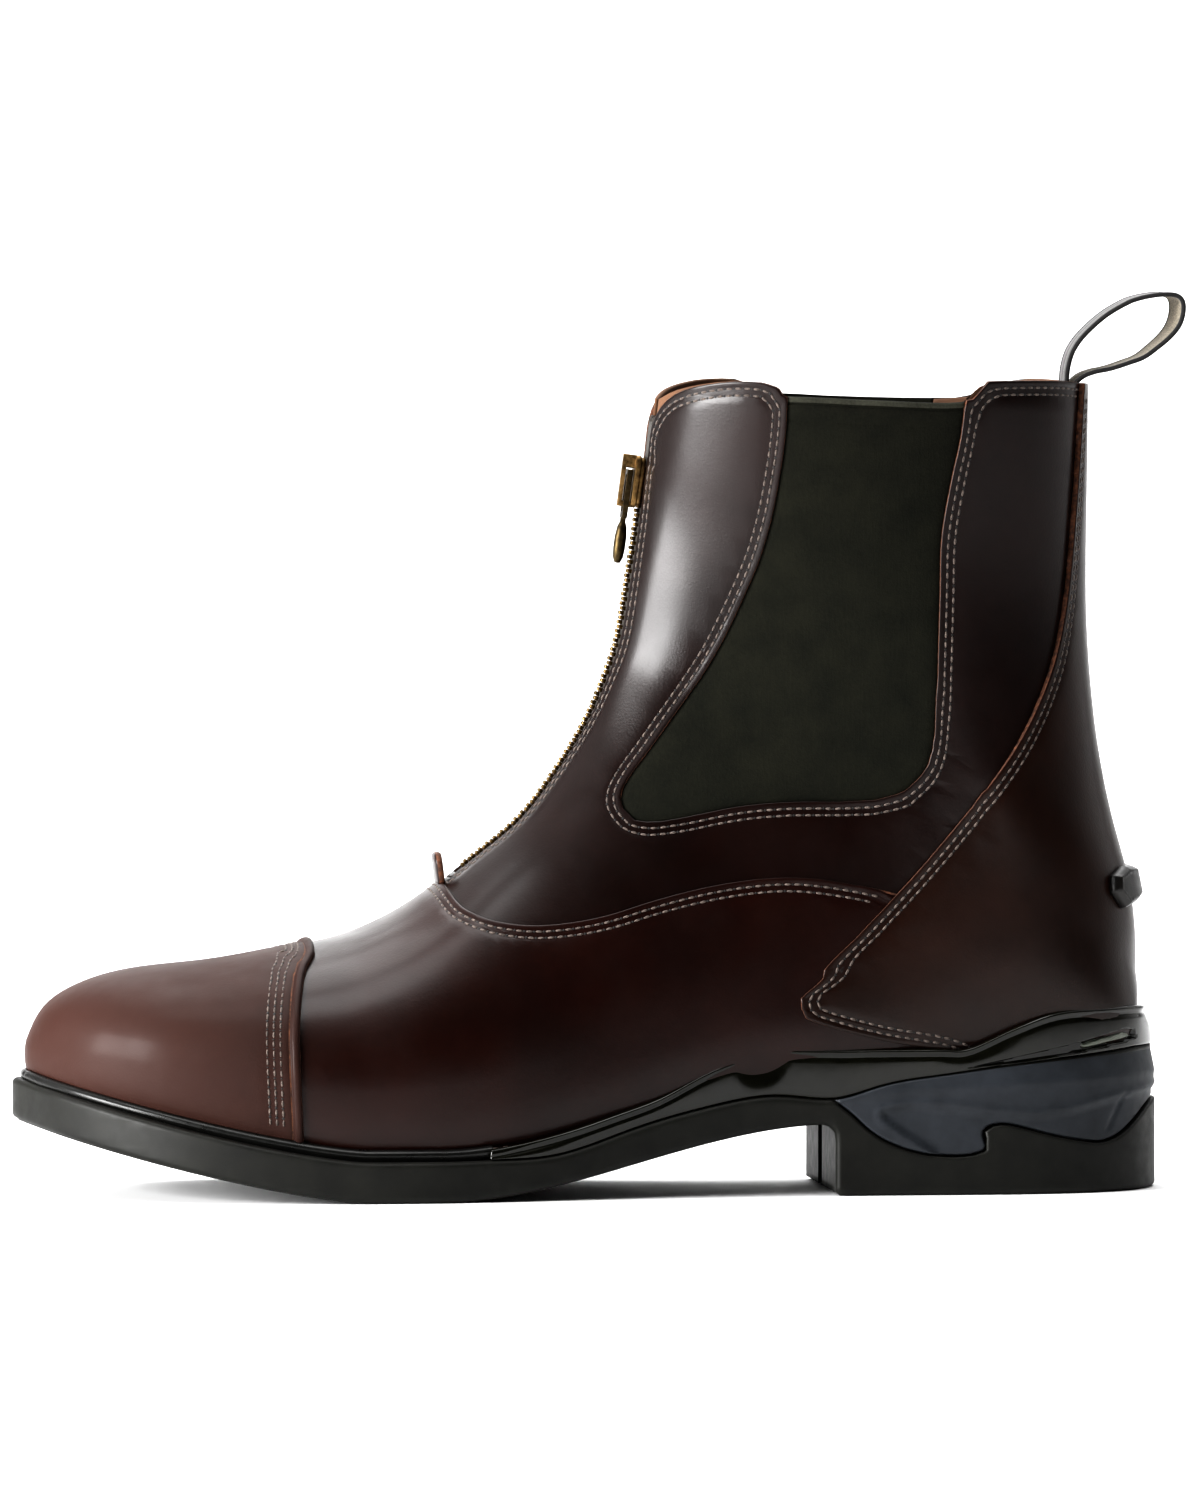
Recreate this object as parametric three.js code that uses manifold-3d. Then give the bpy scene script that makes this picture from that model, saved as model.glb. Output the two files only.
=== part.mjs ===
// A zip-front paddock boot for the left foot, standing empty on its sole.
// Millimetres. +Z is up, X runs from the toe (-X) to the heel (+X), and the outer side faces -Y.
// The origin is the middle of the heel's flat underside, on the floor.
// One function of sections gives the form of the foot and shaft. The leather wall, the overlays, the welt
// bead and the heel cup are all cut between offsets of that form.
import * as THREE from "three";
import { mergeVertices } from "three/addons/utils/BufferGeometryUtils.js";
import Module from "manifold-3d";

const wasm = await Module();
wasm.setup();

// Driving dimensions of the last
const UPPER_LENGTH = 293;
const BALL_WIDTH = 100;
const SHAFT_HEIGHT = 181;
const HEEL_BACK = 37;

// Driving dimensions of the sole
const SOLE_THICKNESS = 11;
const TOE_SPRING = 18;
const HEEL_RISE = 22;
const SEAT_SLOPE = 7;
const SHANK_DEPTH = 3;
const WELT_REACH = 5.4;
const CUP_INSET = 1.6;
const EDGE_ROUND = 1.5;
const GROOVE_WIDTH = 8;
const GROOVE_DEPTH = 4;

// Walls, layers and clearances
const GAP = 0.3;
const WALL = 2.4;
const VAMP_STEP = 0.8;
const OVERLAY = 1.3;
const CAP_BEAD = 0.7;
const CAP_BEAD_WIDTH = 2;
const RAND_WALL = 1.6;
const BEAD_HEIGHT = 2.6;
const INSOLE_THICKNESS = 3;
const INSOLE_CLEARANCE = 0.8;
const LASTING_MARGIN = 10;
const GORE_THICKNESS = 1.4;
const GORE_RECESS = 0.5;

// Zip
const ZIP_SLOT = 9;
const TAPE_RECESS = 0.6;
const TAPE_THICKNESS = 1.3;
const CHAIN_WIDTH = 5.6;
const CHAIN_HEIGHT = 0.5;
const CHAIN_START = 1.2;
const SLIDER_HEIGHT = 14;
const SLIDER_WIDTH = 9;
const SLIDER_PLATE = 1.2;
const SLIDER_CLEARANCE = 0.4;
const BAIL_WIDTH = 2.2;
const BAIL_BAR = 1.1;
const BAIL_OPENING = 2.2;
const BRIDGE_HEIGHT = 3.6;
const BAIL_FOOT = 1.6;
const PULL_THICKNESS = 1.4;
const PULL_BAR = 1.5;
const STEM_LENGTH = 0.8;
const DROP_LENGTH = 11.5;
const DROP_RADIUS = 1.6;

// Throat tab, spur rest and pull loop
const TAB_WIDTH = 12;
const TAB_THICKNESS = 1.9;
const TAB_HEIGHT = 6.5;
const SPUR_REACH = 2.6;
const WEBBING_WIDTH = 13;
const WEBBING_THICKNESS = 1.2;

// Mesh fineness
const AROUND = 22;
const INNER_AROUND = 16;
const RING_SPACING = 26;
const OUTLINE_STEPS = 2;
const SIDE_STEPS = 34;

// Where the sole line bends, as shares of the upper's length from the heel back
const BALL_FRONT = 0.713;
const BALL_REAR = 0.645;
const BREAST = 0.283;
const TREAD_POWER = 1.35;

const FAR = 2 * UPPER_LENGTH;

const smooth = (t) => {
  const s = THREE.MathUtils.clamp(t, 0, 1);
  return s * s * (3 - 2 * s);
};
const xAt = (along) => HEEL_BACK - along * UPPER_LENGTH;
const alongAt = (x) => (HEEL_BACK - x) / UPPER_LENGTH;
const toeLift = (along) => Math.max(0, (along - BALL_FRONT) / (1 - BALL_FRONT)) ** TREAD_POWER;
const waistLift = (along) => smooth((BALL_REAR - along) / (BALL_REAR - BREAST));
const seatLift = (along) => Math.min(1, Math.max(0, (BREAST - along) / BREAST)) ** TREAD_POWER;

// Height of the upper's bottom edge over the floor
function feather(x) {
  const along = alongAt(x);
  return (
    SOLE_THICKNESS + TOE_SPRING * toeLift(along) + HEEL_RISE * waistLift(along) + SEAT_SLOPE * seatLift(along)
  );
}

// Height of the outsole's underside in front of the heel
function ground(x) {
  const along = alongAt(x);
  return TOE_SPRING * toeLift(along) + (HEEL_RISE - SHANK_DEPTH) * waistLift(along);
}

// A place in the side view: a share of the length from the heel back, and a share of the shaft height over
// the feather line
const spot = (along, rise) => new THREE.Vector2(xAt(along), feather(xAt(along)) + rise * SHAFT_HEIGHT);

// Natural cubic spline through values at rising knots
function naturalSpline(knots, values) {
  const n = knots.length - 1;
  const bend = new Array(n + 1).fill(0);
  const diagonal = new Array(n + 1).fill(1);
  const right = new Array(n + 1).fill(0);
  for (let i = 1; i < n; i++) {
    const before = knots[i] - knots[i - 1];
    const after = knots[i + 1] - knots[i];
    const slopeChange = (values[i + 1] - values[i]) / after - (values[i] - values[i - 1]) / before;
    const carry = i > 1 ? before / diagonal[i - 1] : 0;
    diagonal[i] = 2 * (before + after) - carry * (i > 1 ? before : 0);
    right[i] = 6 * slopeChange - carry * right[i - 1];
  }
  for (let i = n - 1; i > 0; i--) {
    bend[i] = (right[i] - (knots[i + 1] - knots[i]) * bend[i + 1]) / diagonal[i];
  }
  return (knot) => {
    let i = 0;
    while (i < n - 1 && knot > knots[i + 1]) i++;
    const width = knots[i + 1] - knots[i];
    const a = (knots[i + 1] - knot) / width;
    const b = (knot - knots[i]) / width;
    const curve = ((a ** 3 - a) * bend[i] + (b ** 3 - b) * bend[i + 1]) * (width * width) / 6;
    return a * values[i] + b * values[i + 1] + curve;
  };
}

// Sections of the form, from the toe tip, over the instep and round the heel, to above the collar.
// top and foot are the section's two ends in the side view. wide is the share of the section's height at
// which it is widest. mid, lateral and medial are shares of the ball width. lowSquare and highSquare are
// superellipse powers, and flat is how much of the lower curve is cut off by the flat bottom of the last.
const FORM_COLUMNS = [
  "topAlong", "topRise", "footAlong", "footRise", "wide", "mid", "lateral", "medial", "lowSquare",
  "highSquare", "flat",
];
const FORM_ROWS = [
  [1.0, 0.062, 1.0, 0.021, 0.5, 0.06, 0.065, 0.065, 2.2, 2.2, 0.1],
  [0.988, 0.106, 0.988, 0.008, 0.42, 0.06, 0.155, 0.155, 2.4, 2.2, 0.2],
  [0.964, 0.147, 0.964, 0.0, 0.38, 0.058, 0.265, 0.25, 2.8, 2.3, 0.3],
  [0.918, 0.192, 0.918, 0.0, 0.36, 0.05, 0.375, 0.345, 3.2, 2.35, 0.35],
  [0.843, 0.236, 0.843, 0.0, 0.34, 0.035, 0.455, 0.43, 3.6, 2.3, 0.4],
  [0.758, 0.288, 0.758, 0.0, 0.32, 0.015, 0.49, 0.475, 4.0, 2.2, 0.4],
  [0.672, 0.345, 0.672, 0.0, 0.3, 0.005, 0.5, 0.465, 4.2, 2.05, 0.4],
  [0.611, 0.415, 0.587, 0.0, 0.27, 0, 0.47, 0.415, 4.4, 2.0, 0.4],
  [0.563, 0.466, 0.468, 0.0, 0.27, 0, 0.42, 0.365, 4.2, 2.05, 0.4],
  [0.526, 0.527, 0.338, 0.0, 0.28, 0, 0.38, 0.335, 3.8, 2.15, 0.4],
  [0.497, 0.592, 0.212, 0.0, 0.28, 0, 0.35, 0.325, 3.4, 2.2, 0.4],
  [0.479, 0.653, 0.099, 0.0, 0.27, 0, 0.335, 0.32, 2.9, 2.2, 0.35],
  [0.469, 0.702, 0.014, 0.01, 0.26, 0, 0.33, 0.32, 2.4, 2.2, 0.15],
  [0.463, 0.755, 0.0, 0.094, 0.27, 0, 0.325, 0.32, 2.2, 2.2, 0],
  [0.458, 0.803, 0.003, 0.2, 0.3, 0, 0.325, 0.32, 2.1, 2.2, 0],
  [0.453, 0.855, 0.02, 0.318, 0.36, 0, 0.325, 0.32, 2.1, 2.15, 0],
  [0.449, 0.903, 0.036, 0.453, 0.42, 0, 0.33, 0.325, 2.1, 2.1, 0],
  [0.445, 0.945, 0.045, 0.626, 0.48, 0, 0.34, 0.335, 2.1, 2.1, 0],
  [0.441, 0.998, 0.045, 0.797, 0.5, 0, 0.36, 0.355, 2.1, 2.1, 0],
  [0.437, 1.05, 0.044, 0.952, 0.5, 0, 0.38, 0.375, 2.1, 2.1, 0],
  [0.435, 1.09, 0.044, 1.02, 0.5, 0, 0.385, 0.38, 2.1, 2.1, 0],
].map((row) => Object.fromEntries(FORM_COLUMNS.map((column, i) => [column, row[i]])));

const formKnots = [0];
for (let i = 1; i < FORM_ROWS.length; i++) {
  const [before, after] = [FORM_ROWS[i - 1], FORM_ROWS[i]];
  const topStep = spot(after.topAlong, after.topRise).distanceTo(spot(before.topAlong, before.topRise));
  const footStep = spot(after.footAlong, after.footRise).distanceTo(spot(before.footAlong, before.footRise));
  formKnots.push(formKnots[i - 1] + (topStep + footStep) / 2);
}
const formSplines = Object.fromEntries(
  FORM_COLUMNS.map((column) => [column, naturalSpline(formKnots, FORM_ROWS.map((row) => row[column]))]),
);

// A point of the form at a knot, at an angle round its section: 0 at the foot, half a turn at the top.
// Without its flat bottom the lower curve runs on smoothly, which gives even normals.
function formPoint(knot, angle, lowest = -1) {
  const row = Object.fromEntries(FORM_COLUMNS.map((column) => [column, formSplines[column](knot)]));
  const top = spot(row.topAlong, row.topRise);
  const foot = spot(row.footAlong, Math.max(0, row.footRise));
  const flat = Math.max(0, row.flat);
  const quarter = Math.PI / 2;
  const turned = Math.atan2(Math.sin(angle), Math.cos(angle));
  const low = Math.abs(turned) < quarter;
  const bent = low ? Math.sign(turned) * quarter * (Math.abs(turned) / quarter) ** (1 - flat) : turned;
  const sin = Math.sin(bent);
  const power = 2 / (low ? row.lowSquare : row.highSquare);
  const reach = Math.abs(Math.cos(bent)) ** power;
  const lowShare = Math.max(lowest, row.wide * (1 - (1 + flat) * reach));
  const share = low ? lowShare : row.wide + (1 - row.wide) * reach;
  const half = sin > 0 ? row.medial : -row.lateral;
  const place = foot.lerp(top, share);
  return new THREE.Vector3(place.x, BALL_WIDTH * (row.mid + half * Math.abs(sin) ** power), place.y);
}

// The same point moved out along the form's normal
function offsetPoint(knot, angle, offset) {
  const KNOT_STEP = 0.5;
  const ANGLE_STEP = 0.05;
  const last = formKnots[formKnots.length - 1];
  const ahead = formPoint(Math.min(last, knot + KNOT_STEP), angle);
  const along = ahead.sub(formPoint(Math.max(0, knot - KNOT_STEP), angle));
  const across = formPoint(knot, angle + ANGLE_STEP).sub(formPoint(knot, angle - ANGLE_STEP));
  const normal = across.cross(along).normalize();
  return formPoint(knot, angle, 0).addScaledVector(normal, offset);
}

// A closed solid from rings of equally many points, with each end closed by a fan or by a ladder of rungs
function loft(rings, ends = "fan") {
  const count = rings[0].length;
  const points = rings.flat();
  const faces = [];
  for (let r = 0; r + 1 < rings.length; r++) {
    for (let i = 0; i < count; i++) {
      const [a, b] = [r * count + i, r * count + ((i + 1) % count)];
      faces.push([a, b, b + count], [a, b + count, a + count]);
    }
  }
  const close = (ring, flip) => {
    const start = ring * count;
    const add = (a, b, c) => faces.push(flip ? [a, c, b] : [a, b, c]);
    if (ends === "fan") {
      const centre = new THREE.Vector3();
      rings[ring].forEach((p) => centre.addScaledVector(p, 1 / count));
      points.push(centre);
      for (let i = 0; i < count; i++) add(start + ((i + 1) % count), start + i, points.length - 1);
      return;
    }
    for (let i = 0; i < count / 2; i++) {
      const [a, b] = [start + i, start + i + 1];
      const [c, d] = [start + ((count - i) % count), start + count - i - 1];
      if (i > 0) add(a, c, b);
      if (b !== d) add(b, c, d);
    }
  };
  close(0, false);
  close(rings.length - 1, true);
  const solid = new wasm.Manifold(
    new wasm.Mesh({
      numProp: 3,
      vertProperties: new Float32Array(points.flatMap((p) => p.toArray())),
      triVerts: new Uint32Array(faces.flat()),
    }),
  );
  if (solid.volume() > 0) return solid;
  return new wasm.Manifold(
    new wasm.Mesh({
      numProp: 3,
      vertProperties: new Float32Array(points.flatMap((p) => p.toArray())),
      triVerts: new Uint32Array(faces.flatMap(([a, b, c]) => [a, c, b])),
    }),
  );
}

// The form grown by an offset, as a closed solid
function form(offset, around = AROUND) {
  const knots = formKnots.flatMap((knot, i) => {
    const before = i > 0 ? formKnots[i - 1] : knot;
    const steps = Math.max(1, Math.ceil((knot - before) / RING_SPACING));
    return Array.from({ length: steps }, (_, j) => THREE.MathUtils.lerp(before, knot, (j + 1) / steps));
  });
  return loft(
    knots.map((knot) =>
      Array.from({ length: around }, (_, j) => offsetPoint(knot, ((j + 0.5) / around) * 2 * Math.PI, offset)),
    ),
  );
}

// Turns a three.js geometry into a solid, and a solid back into a mesh
function solidOf(geometry) {
  const bare = geometry.clone();
  bare.deleteAttribute("normal");
  bare.deleteAttribute("uv");
  const merged = mergeVertices(bare, 1e-4);
  return new wasm.Manifold(
    new wasm.Mesh({
      numProp: 3,
      vertProperties: merged.attributes.position.array,
      triVerts: new Uint32Array(merged.index.array),
    }),
  );
}
function meshOf(name, solid, material) {
  const made = solid.getMesh();
  const geometry = new THREE.BufferGeometry();
  geometry.setAttribute("position", new THREE.BufferAttribute(new Float32Array(made.vertProperties), 3));
  geometry.setIndex(new THREE.BufferAttribute(new Uint32Array(made.triVerts), 1));
  geometry.computeVertexNormals();
  const mesh = new THREE.Mesh(geometry, material);
  mesh.name = name;
  return mesh;
}

// A side-view outline of (x, z) points, extruded across the boot from one y to another
function prism(outline, from = -FAR, to = FAR) {
  const settings = { depth: to - from, bevelEnabled: false };
  const geometry = new THREE.ExtrudeGeometry(new THREE.Shape(outline), settings);
  return solidOf(geometry.rotateX(Math.PI / 2).translate(0, to, 0));
}

// Smooth curve through rows of [along, rise]
const curve = (rows, steps = 3) =>
  new THREE.SplineCurve(rows.map(([along, rise]) => spot(along, rise))).getPoints(steps * (rows.length - 1));

// A band of the side view between two heights over the floor, from one x to another
function band(fromX, toX, low, high) {
  const steps = Math.ceil((SIDE_STEPS * Math.abs(toX - fromX)) / UPPER_LENGTH);
  const xs = Array.from({ length: steps + 1 }, (_, i) => THREE.MathUtils.lerp(fromX, toX, i / steps));
  return prism([
    ...xs.map((x) => new THREE.Vector2(x, low(x))),
    ...xs.reverse().map((x) => new THREE.Vector2(x, high(x))),
  ]);
}

// Outer edge of the sole seen from above, in shares of the sole's length from its heel back and of the ball
// width
const SOLE_BACK = HEEL_BACK + WELT_REACH + OVERLAY + GAP;
const SOLE_LENGTH = UPPER_LENGTH + 2 * (WELT_REACH + OVERLAY) - 1;
const OUTLINE_ROWS = [
  [1.0, -0.06, 0.06],
  [0.986, 0.08, 0.195],
  [0.963, 0.22, 0.305],
  [0.924, 0.35, 0.395],
  [0.871, 0.45, 0.462],
  [0.806, 0.513, 0.51],
  [0.733, 0.545, 0.53],
  [0.661, 0.55, 0.505],
  [0.586, 0.515, 0.44],
  [0.504, 0.455, 0.375],
  [0.422, 0.405, 0.34],
  [0.34, 0.375, 0.333],
  [0.258, 0.362, 0.337],
  [0.176, 0.36, 0.342],
  [0.104, 0.34, 0.33],
  [0.052, 0.275, 0.272],
  [0.018, 0.172, 0.172],
  [0, 0, 0],
];
const outlinePlace = (along, across) =>
  new THREE.Vector3(SOLE_BACK - along * SOLE_LENGTH, across * BALL_WIDTH, 0);
const outline = (() => {
  const lateral = OUTLINE_ROWS.map(([along, outer]) => outlinePlace(along, -outer));
  const medial = OUTLINE_ROWS.slice(1, -1).map(([along, , inner]) => outlinePlace(along, inner));
  const loop = new THREE.CatmullRomCurve3([...lateral, ...medial.reverse()], true, "catmullrom", 0.5);
  return loop.getPoints(OUTLINE_STEPS * loop.points.length).slice(0, -1);
})();

// The sole's outline moved inwards, at a height that may follow x
function soleRing(inset, height) {
  const count = outline.length;
  return outline.map((place, i) => {
    const tangent = outline[(i + 1) % count].clone().sub(outline[(i - 1 + count) % count]).normalize();
    const inwards = new THREE.Vector3(-tangent.y, tangent.x, 0);
    const moved = place.clone().addScaledVector(inwards, inset);
    return moved.setZ(height(moved.x));
  });
}

// The sole's outline as an upright solid, moved inwards
const BASE = -SOLE_THICKNESS;
const column = (inset) => loft([soleRing(inset, () => BASE), soleRing(inset, () => SHAFT_HEIGHT)], "ladder");

// How far the heel cup reaches below the feather line, as shares of the shaft height along the boot
const CUP_DROP_ROWS = [
  [-0.1, 0.01],
  [0.063, 0.009],
  [0.128, 0.01],
  [0.188, 0.0155],
  [0.243, 0.025],
  [0.284, 0.04],
  [0.334, 0.028],
  [0.394, 0.02],
  [0.469, 0.016],
  [0.54, 0.018],
  [0.6, 0.004],
  [0.66, 0],
  [1.1, 0],
];
const cupDrop = naturalSpline(
  CUP_DROP_ROWS.map(([along]) => along),
  CUP_DROP_ROWS.map(([, drop]) => drop),
);
const cupFloor = (x) => feather(x) - Math.max(0, cupDrop(alongAt(x))) * SHAFT_HEIGHT;

// Side-view edges of the leather, as rows of [along, rise]
const CAP_SEAM = [
  [0.746, 0.4],
  [0.748, 0.303],
  [0.764, 0.254],
  [0.772, 0.163],
  [0.769, 0.012],
  [0.768, -0.06],
];
const VAMP_EDGE = [
  [0.638, 0.46],
  [0.632, 0.402],
  [0.6285, 0.386],
  [0.621, 0.365],
  [0.609, 0.351],
  [0.589, 0.336],
  [0.55, 0.318],
  [0.497, 0.306],
  [0.448, 0.305],
  [0.392, 0.3],
  [0.316, 0.287],
  [0.249, 0.266],
  [0.2, 0.24],
];
const COUNTER_EDGE = [
  [0.041, 1.08],
  [0.0495, 0.897],
  [0.06, 0.709],
  [0.071, 0.608],
  [0.086, 0.54],
  [0.11, 0.47],
  [0.141, 0.405],
  [0.198, 0.302],
  [0.249, 0.219],
  [0.294, 0.149],
  [0.31, 0.126],
  [0.316, 0.108],
  [0.313, 0.087],
  [0.302, 0.073],
  [0.24, 0.041],
  [0.175, 0.013],
  [0.14, -0.03],
];
const GORE_EDGE = [
  [0.328, 1.06],
  [0.328, 0.95],
  [0.335, 0.857],
  [0.344, 0.789],
  [0.358, 0.726],
  [0.392, 0.623],
  [0.442, 0.532],
  [0.4645, 0.496],
  [0.4745, 0.472],
  [0.4735, 0.452],
  [0.459, 0.424],
  [0.423, 0.411],
  [0.37, 0.405],
  [0.298, 0.395],
  [0.241, 0.394],
  [0.22, 0.403],
  [0.202, 0.429],
  [0.1945, 0.458],
  [0.191, 0.51],
  [0.1875, 0.682],
  [0.186, 0.773],
  [0.177, 0.858],
  [0.168, 0.928],
  [0.161, 1.06],
];
const COLLAR_EDGE = [
  [0.4435, 0.95],
  [0.441, 0.984],
  [0.432, 1.018],
  [0.415, 1.032],
  [0.383, 1.03],
  [0.348, 1.017],
  [0.336, 1.006],
  [0.327, 0.991],
  [0.246, 0.978],
  [0.164, 0.966],
  [0.152, 0.99],
  [0.141, 0.993],
  [0.078, 0.983],
  [0.03, 0.969],
  [-0.05, 0.96],
];
const CUP_EDGE = [
  [0.6, 0.012],
  [0.535, 0.012],
  [0.488, 0.014],
  [0.443, 0.017],
  [0.394, 0.034],
  [0.341, 0.04],
  [0.302, 0.034],
  [0.245, 0.03],
  [0.19, 0.024],
  [0.161, 0.021],
  [0.12, 0.044],
  [0.079, 0.06],
  [0.03, 0.056],
  [-0.05, 0.045],
];
const CUSHION_EDGE = [
  [0.285, -0.042],
  [0.269, -0.063],
  [0.253, -0.088],
  [0.234, -0.109],
  [0.206, -0.127],
  [0.174, -0.136],
  [0.153, -0.135],
  [0.145, -0.128],
  [0.1475, -0.114],
  [0.1475, -0.102],
  [0.139, -0.096],
  [0.123, -0.098],
  [0.081, -0.122],
  [0.038, -0.14],
  [0.024, -0.137],
  [0.006, -0.12],
  [-0.025, -0.09],
];
const SPUR_EDGE = [
  [0.024, 0.247],
  [0.012, 0.258],
  [-0.02, 0.25],
  [-0.035, 0.235],
  [0.0, 0.2],
  [0.012, 0.196],
  [0.024, 0.222],
];
const corners = (rows) => rows.map(([along, rise]) => spot(along, rise));

// A closed side-view outline moved outwards, or inwards where the distance is negative
function grow(points, distance) {
  const turn = Math.sign(THREE.ShapeUtils.area(points)) * distance;
  return points.map((point, i) => {
    const before = points[(i - 1 + points.length) % points.length];
    const after = points[(i + 1) % points.length];
    const tangent = after.clone().sub(before).normalize();
    return new THREE.Vector2(point.x + tangent.y * turn, point.y - tangent.x * turn);
  });
}

const BEFORE_TOE = xAt(1.05);
const BEHIND_HEEL = xAt(-0.08);
const above = (low) => band(BEFORE_TOE, BEHIND_HEEL, low, () => FAR);
const aboveFeather = above(feather);
const capOutline = [...curve(CAP_SEAM), ...corners([[1.1, -0.06], [1.1, 0.4]])];
const counterOutline = [...curve(COUNTER_EDGE, 2), ...corners([[-0.1, -0.03], [-0.1, 1.08]])];
const goreOutline = curve(GORE_EDGE, 2);
const belowCollar = prism([...curve(COLLAR_EDGE), ...corners([[-0.05, -0.3], [1.1, -0.3], [1.1, 0.95]])]);

// Shells between two offsets of the form
const grown = new Map();
function formAt(offset) {
  if (!grown.has(offset)) grown.set(offset, form(offset, offset < 0 ? INNER_AROUND : AROUND));
  return grown.get(offset);
}
const shell = (inner, outer) => formAt(outer).subtract(formAt(inner));

// The zip runs up the front of the shaft in a slot that starts above the vamp
const THROAT = 0.618;
const frontZone = (start, half) =>
  prism(corners([[start, 0.2], [start, 0.6], [0.55, 0.8], [0.5, 1.2], [0.3, 1.2], [0.3, 0.2]]), -half, half);
const zipZone = (clearance) => frontZone(THROAT - clearance / UPPER_LENGTH, ZIP_SLOT / 2 - clearance);

// The leather upper: one wall, stepped out under the vamp, open at the collar, the zip, the gores and the
// bottom
const vamp = formAt(VAMP_STEP)
  .intersect(prism([...curve(VAMP_EDGE, 2), ...corners([[0.2, -0.06], [0.8, -0.06], [0.8, 0.46]])]))
  .intersect(aboveFeather)
  .subtract(prism(grow(capOutline, GAP)))
  .subtract(prism(grow(counterOutline, GAP)));
const throatTab = (() => {
  const shape = roundedRect(TAB_WIDTH / 2, -TAB_HEIGHT / 2, TAB_HEIGHT, TAB_WIDTH / 4);
  const foot = spot(0.6285, 0.4);
  return plate(shape, 0, TAB_THICKNESS).translate(foot.x, 0, foot.y);
})();
const bottomInset = WELT_REACH + OVERLAY + LASTING_MARGIN;
const bottomOpening = column(bottomInset).intersect(
  band(BEFORE_TOE, BEHIND_HEEL, () => BASE, (x) => feather(x) + 2 * WALL),
);
const upper = formAt(0)
  .add(vamp)
  .add(throatTab)
  .subtract(formAt(-WALL))
  .subtract(bottomOpening)
  .subtract(prism(goreOutline))
  .subtract(zipZone(0))
  .intersect(aboveFeather)
  .intersect(belowCollar);

// A shape in the (y, z) plane, extruded outwards, towards the toe
function plate(shape, from, to) {
  const basis = new THREE.Matrix4().makeBasis(
    new THREE.Vector3(0, 1, 0),
    new THREE.Vector3(0, 0, 1),
    new THREE.Vector3(1, 0, 0),
  );
  const settings = { depth: to - from, bevelEnabled: false, curveSegments: 4 };
  const geometry = new THREE.ExtrudeGeometry(shape, settings);
  return solidOf(geometry.applyMatrix4(basis).translate(-to, 0, 0));
}
function roundedRect(half, low, high, radius) {
  const shape = new THREE.Shape();
  shape.moveTo(-half + radius, low);
  shape.lineTo(half - radius, low);
  shape.quadraticCurveTo(half, low, half, low + radius);
  shape.lineTo(half, high - radius);
  shape.quadraticCurveTo(half, high, half - radius, high);
  shape.lineTo(-half + radius, high);
  shape.quadraticCurveTo(-half, high, -half, high - radius);
  shape.lineTo(-half, low + radius);
  shape.quadraticCurveTo(-half, low, -half + radius, low);
  return shape;
}

// Overlays that lie on the upper
const overlayOuter = GAP + OVERLAY;
const beadTop = (x) => feather(x) + BEAD_HEIGHT;
const beadStrip = [
  ...curve(CAP_SEAM),
  ...curve(CAP_SEAM.map(([along, rise]) => [along + CAP_BEAD_WIDTH / UPPER_LENGTH, rise])).reverse(),
];
const toeCap = shell(GAP, overlayOuter)
  .intersect(prism(capOutline))
  .intersect(aboveFeather)
  .add(
    shell(GAP, overlayOuter + CAP_BEAD)
      .intersect(prism(beadStrip))
      .intersect(above((x) => beadTop(x) + GAP)),
  );
const counter = shell(GAP, overlayOuter)
  .intersect(prism(counterOutline))
  .intersect(aboveFeather)
  .subtract(bottomOpening)
  .intersect(belowCollar);

// Elastic gores, sunk between the leather edges
const goreWall = shell(-GORE_RECESS - GORE_THICKNESS, -GORE_RECESS).intersect(belowCollar);
const goreLateral = goreWall.intersect(prism(grow(goreOutline, -GAP), -FAR, -ZIP_SLOT));
const goreMedial = goreWall.intersect(prism(grow(goreOutline, -GAP), ZIP_SLOT, FAR));

// Welt bead round the forefoot, and the heel cup with its floor under the waist and heel
const CUP_START = 0.6;
const cupInner = overlayOuter + GAP;
const weltBead = shell(cupInner, cupInner + RAND_WALL).intersect(
  band(BEFORE_TOE, xAt(CUP_START) - GAP, feather, beadTop),
);
const belowCupEdge = prism([...curve(CUP_EDGE), ...corners([[-0.05, -0.3], [CUP_START, -0.3]])]);
const overCupFloor = above((x) => feather(x) - GAP);
const heelCup = column(CUP_INSET)
  .add(formAt(cupInner + RAND_WALL))
  .intersect(belowCupEdge)
  .intersect(above(cupFloor))
  .subtract(formAt(cupInner).intersect(overCupFloor))
  .subtract(column(bottomInset).intersect(overCupFloor));

// Outsole with its heel block, and the cushion let into the heel
const belowCup = band(BEFORE_TOE, BEHIND_HEEL, () => BASE, (x) => cupFloor(x) - GAP);
function soleStack(low) {
  return loft(
    [
      soleRing(EDGE_ROUND, low),
      soleRing(0.3 * EDGE_ROUND, (x) => low(x) + 0.3 * EDGE_ROUND),
      soleRing(0, (x) => low(x) + EDGE_ROUND),
      soleRing(0, (x) => feather(x) + EDGE_ROUND),
    ],
    "ladder",
  ).intersect(belowCup);
}
const breast = xAt(BREAST);
const behindBreast = prism([
  new THREE.Vector2(breast, -FAR),
  new THREE.Vector2(FAR, -FAR),
  new THREE.Vector2(FAR, FAR),
  new THREE.Vector2(breast, FAR),
]);
const breastGroove = prism(
  [
    new THREE.Vector2(breast - GROOVE_DEPTH, BASE),
    new THREE.Vector2(breast + GROOVE_DEPTH, BASE),
    new THREE.Vector2(breast + GROOVE_DEPTH, HEEL_RISE - SHANK_DEPTH),
    new THREE.Vector2(breast - GROOVE_DEPTH, HEEL_RISE - SHANK_DEPTH),
  ],
  -GROOVE_WIDTH / 2,
  GROOVE_WIDTH / 2,
);
const heelBlock = soleStack(() => 0).intersect(behindBreast);
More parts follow.
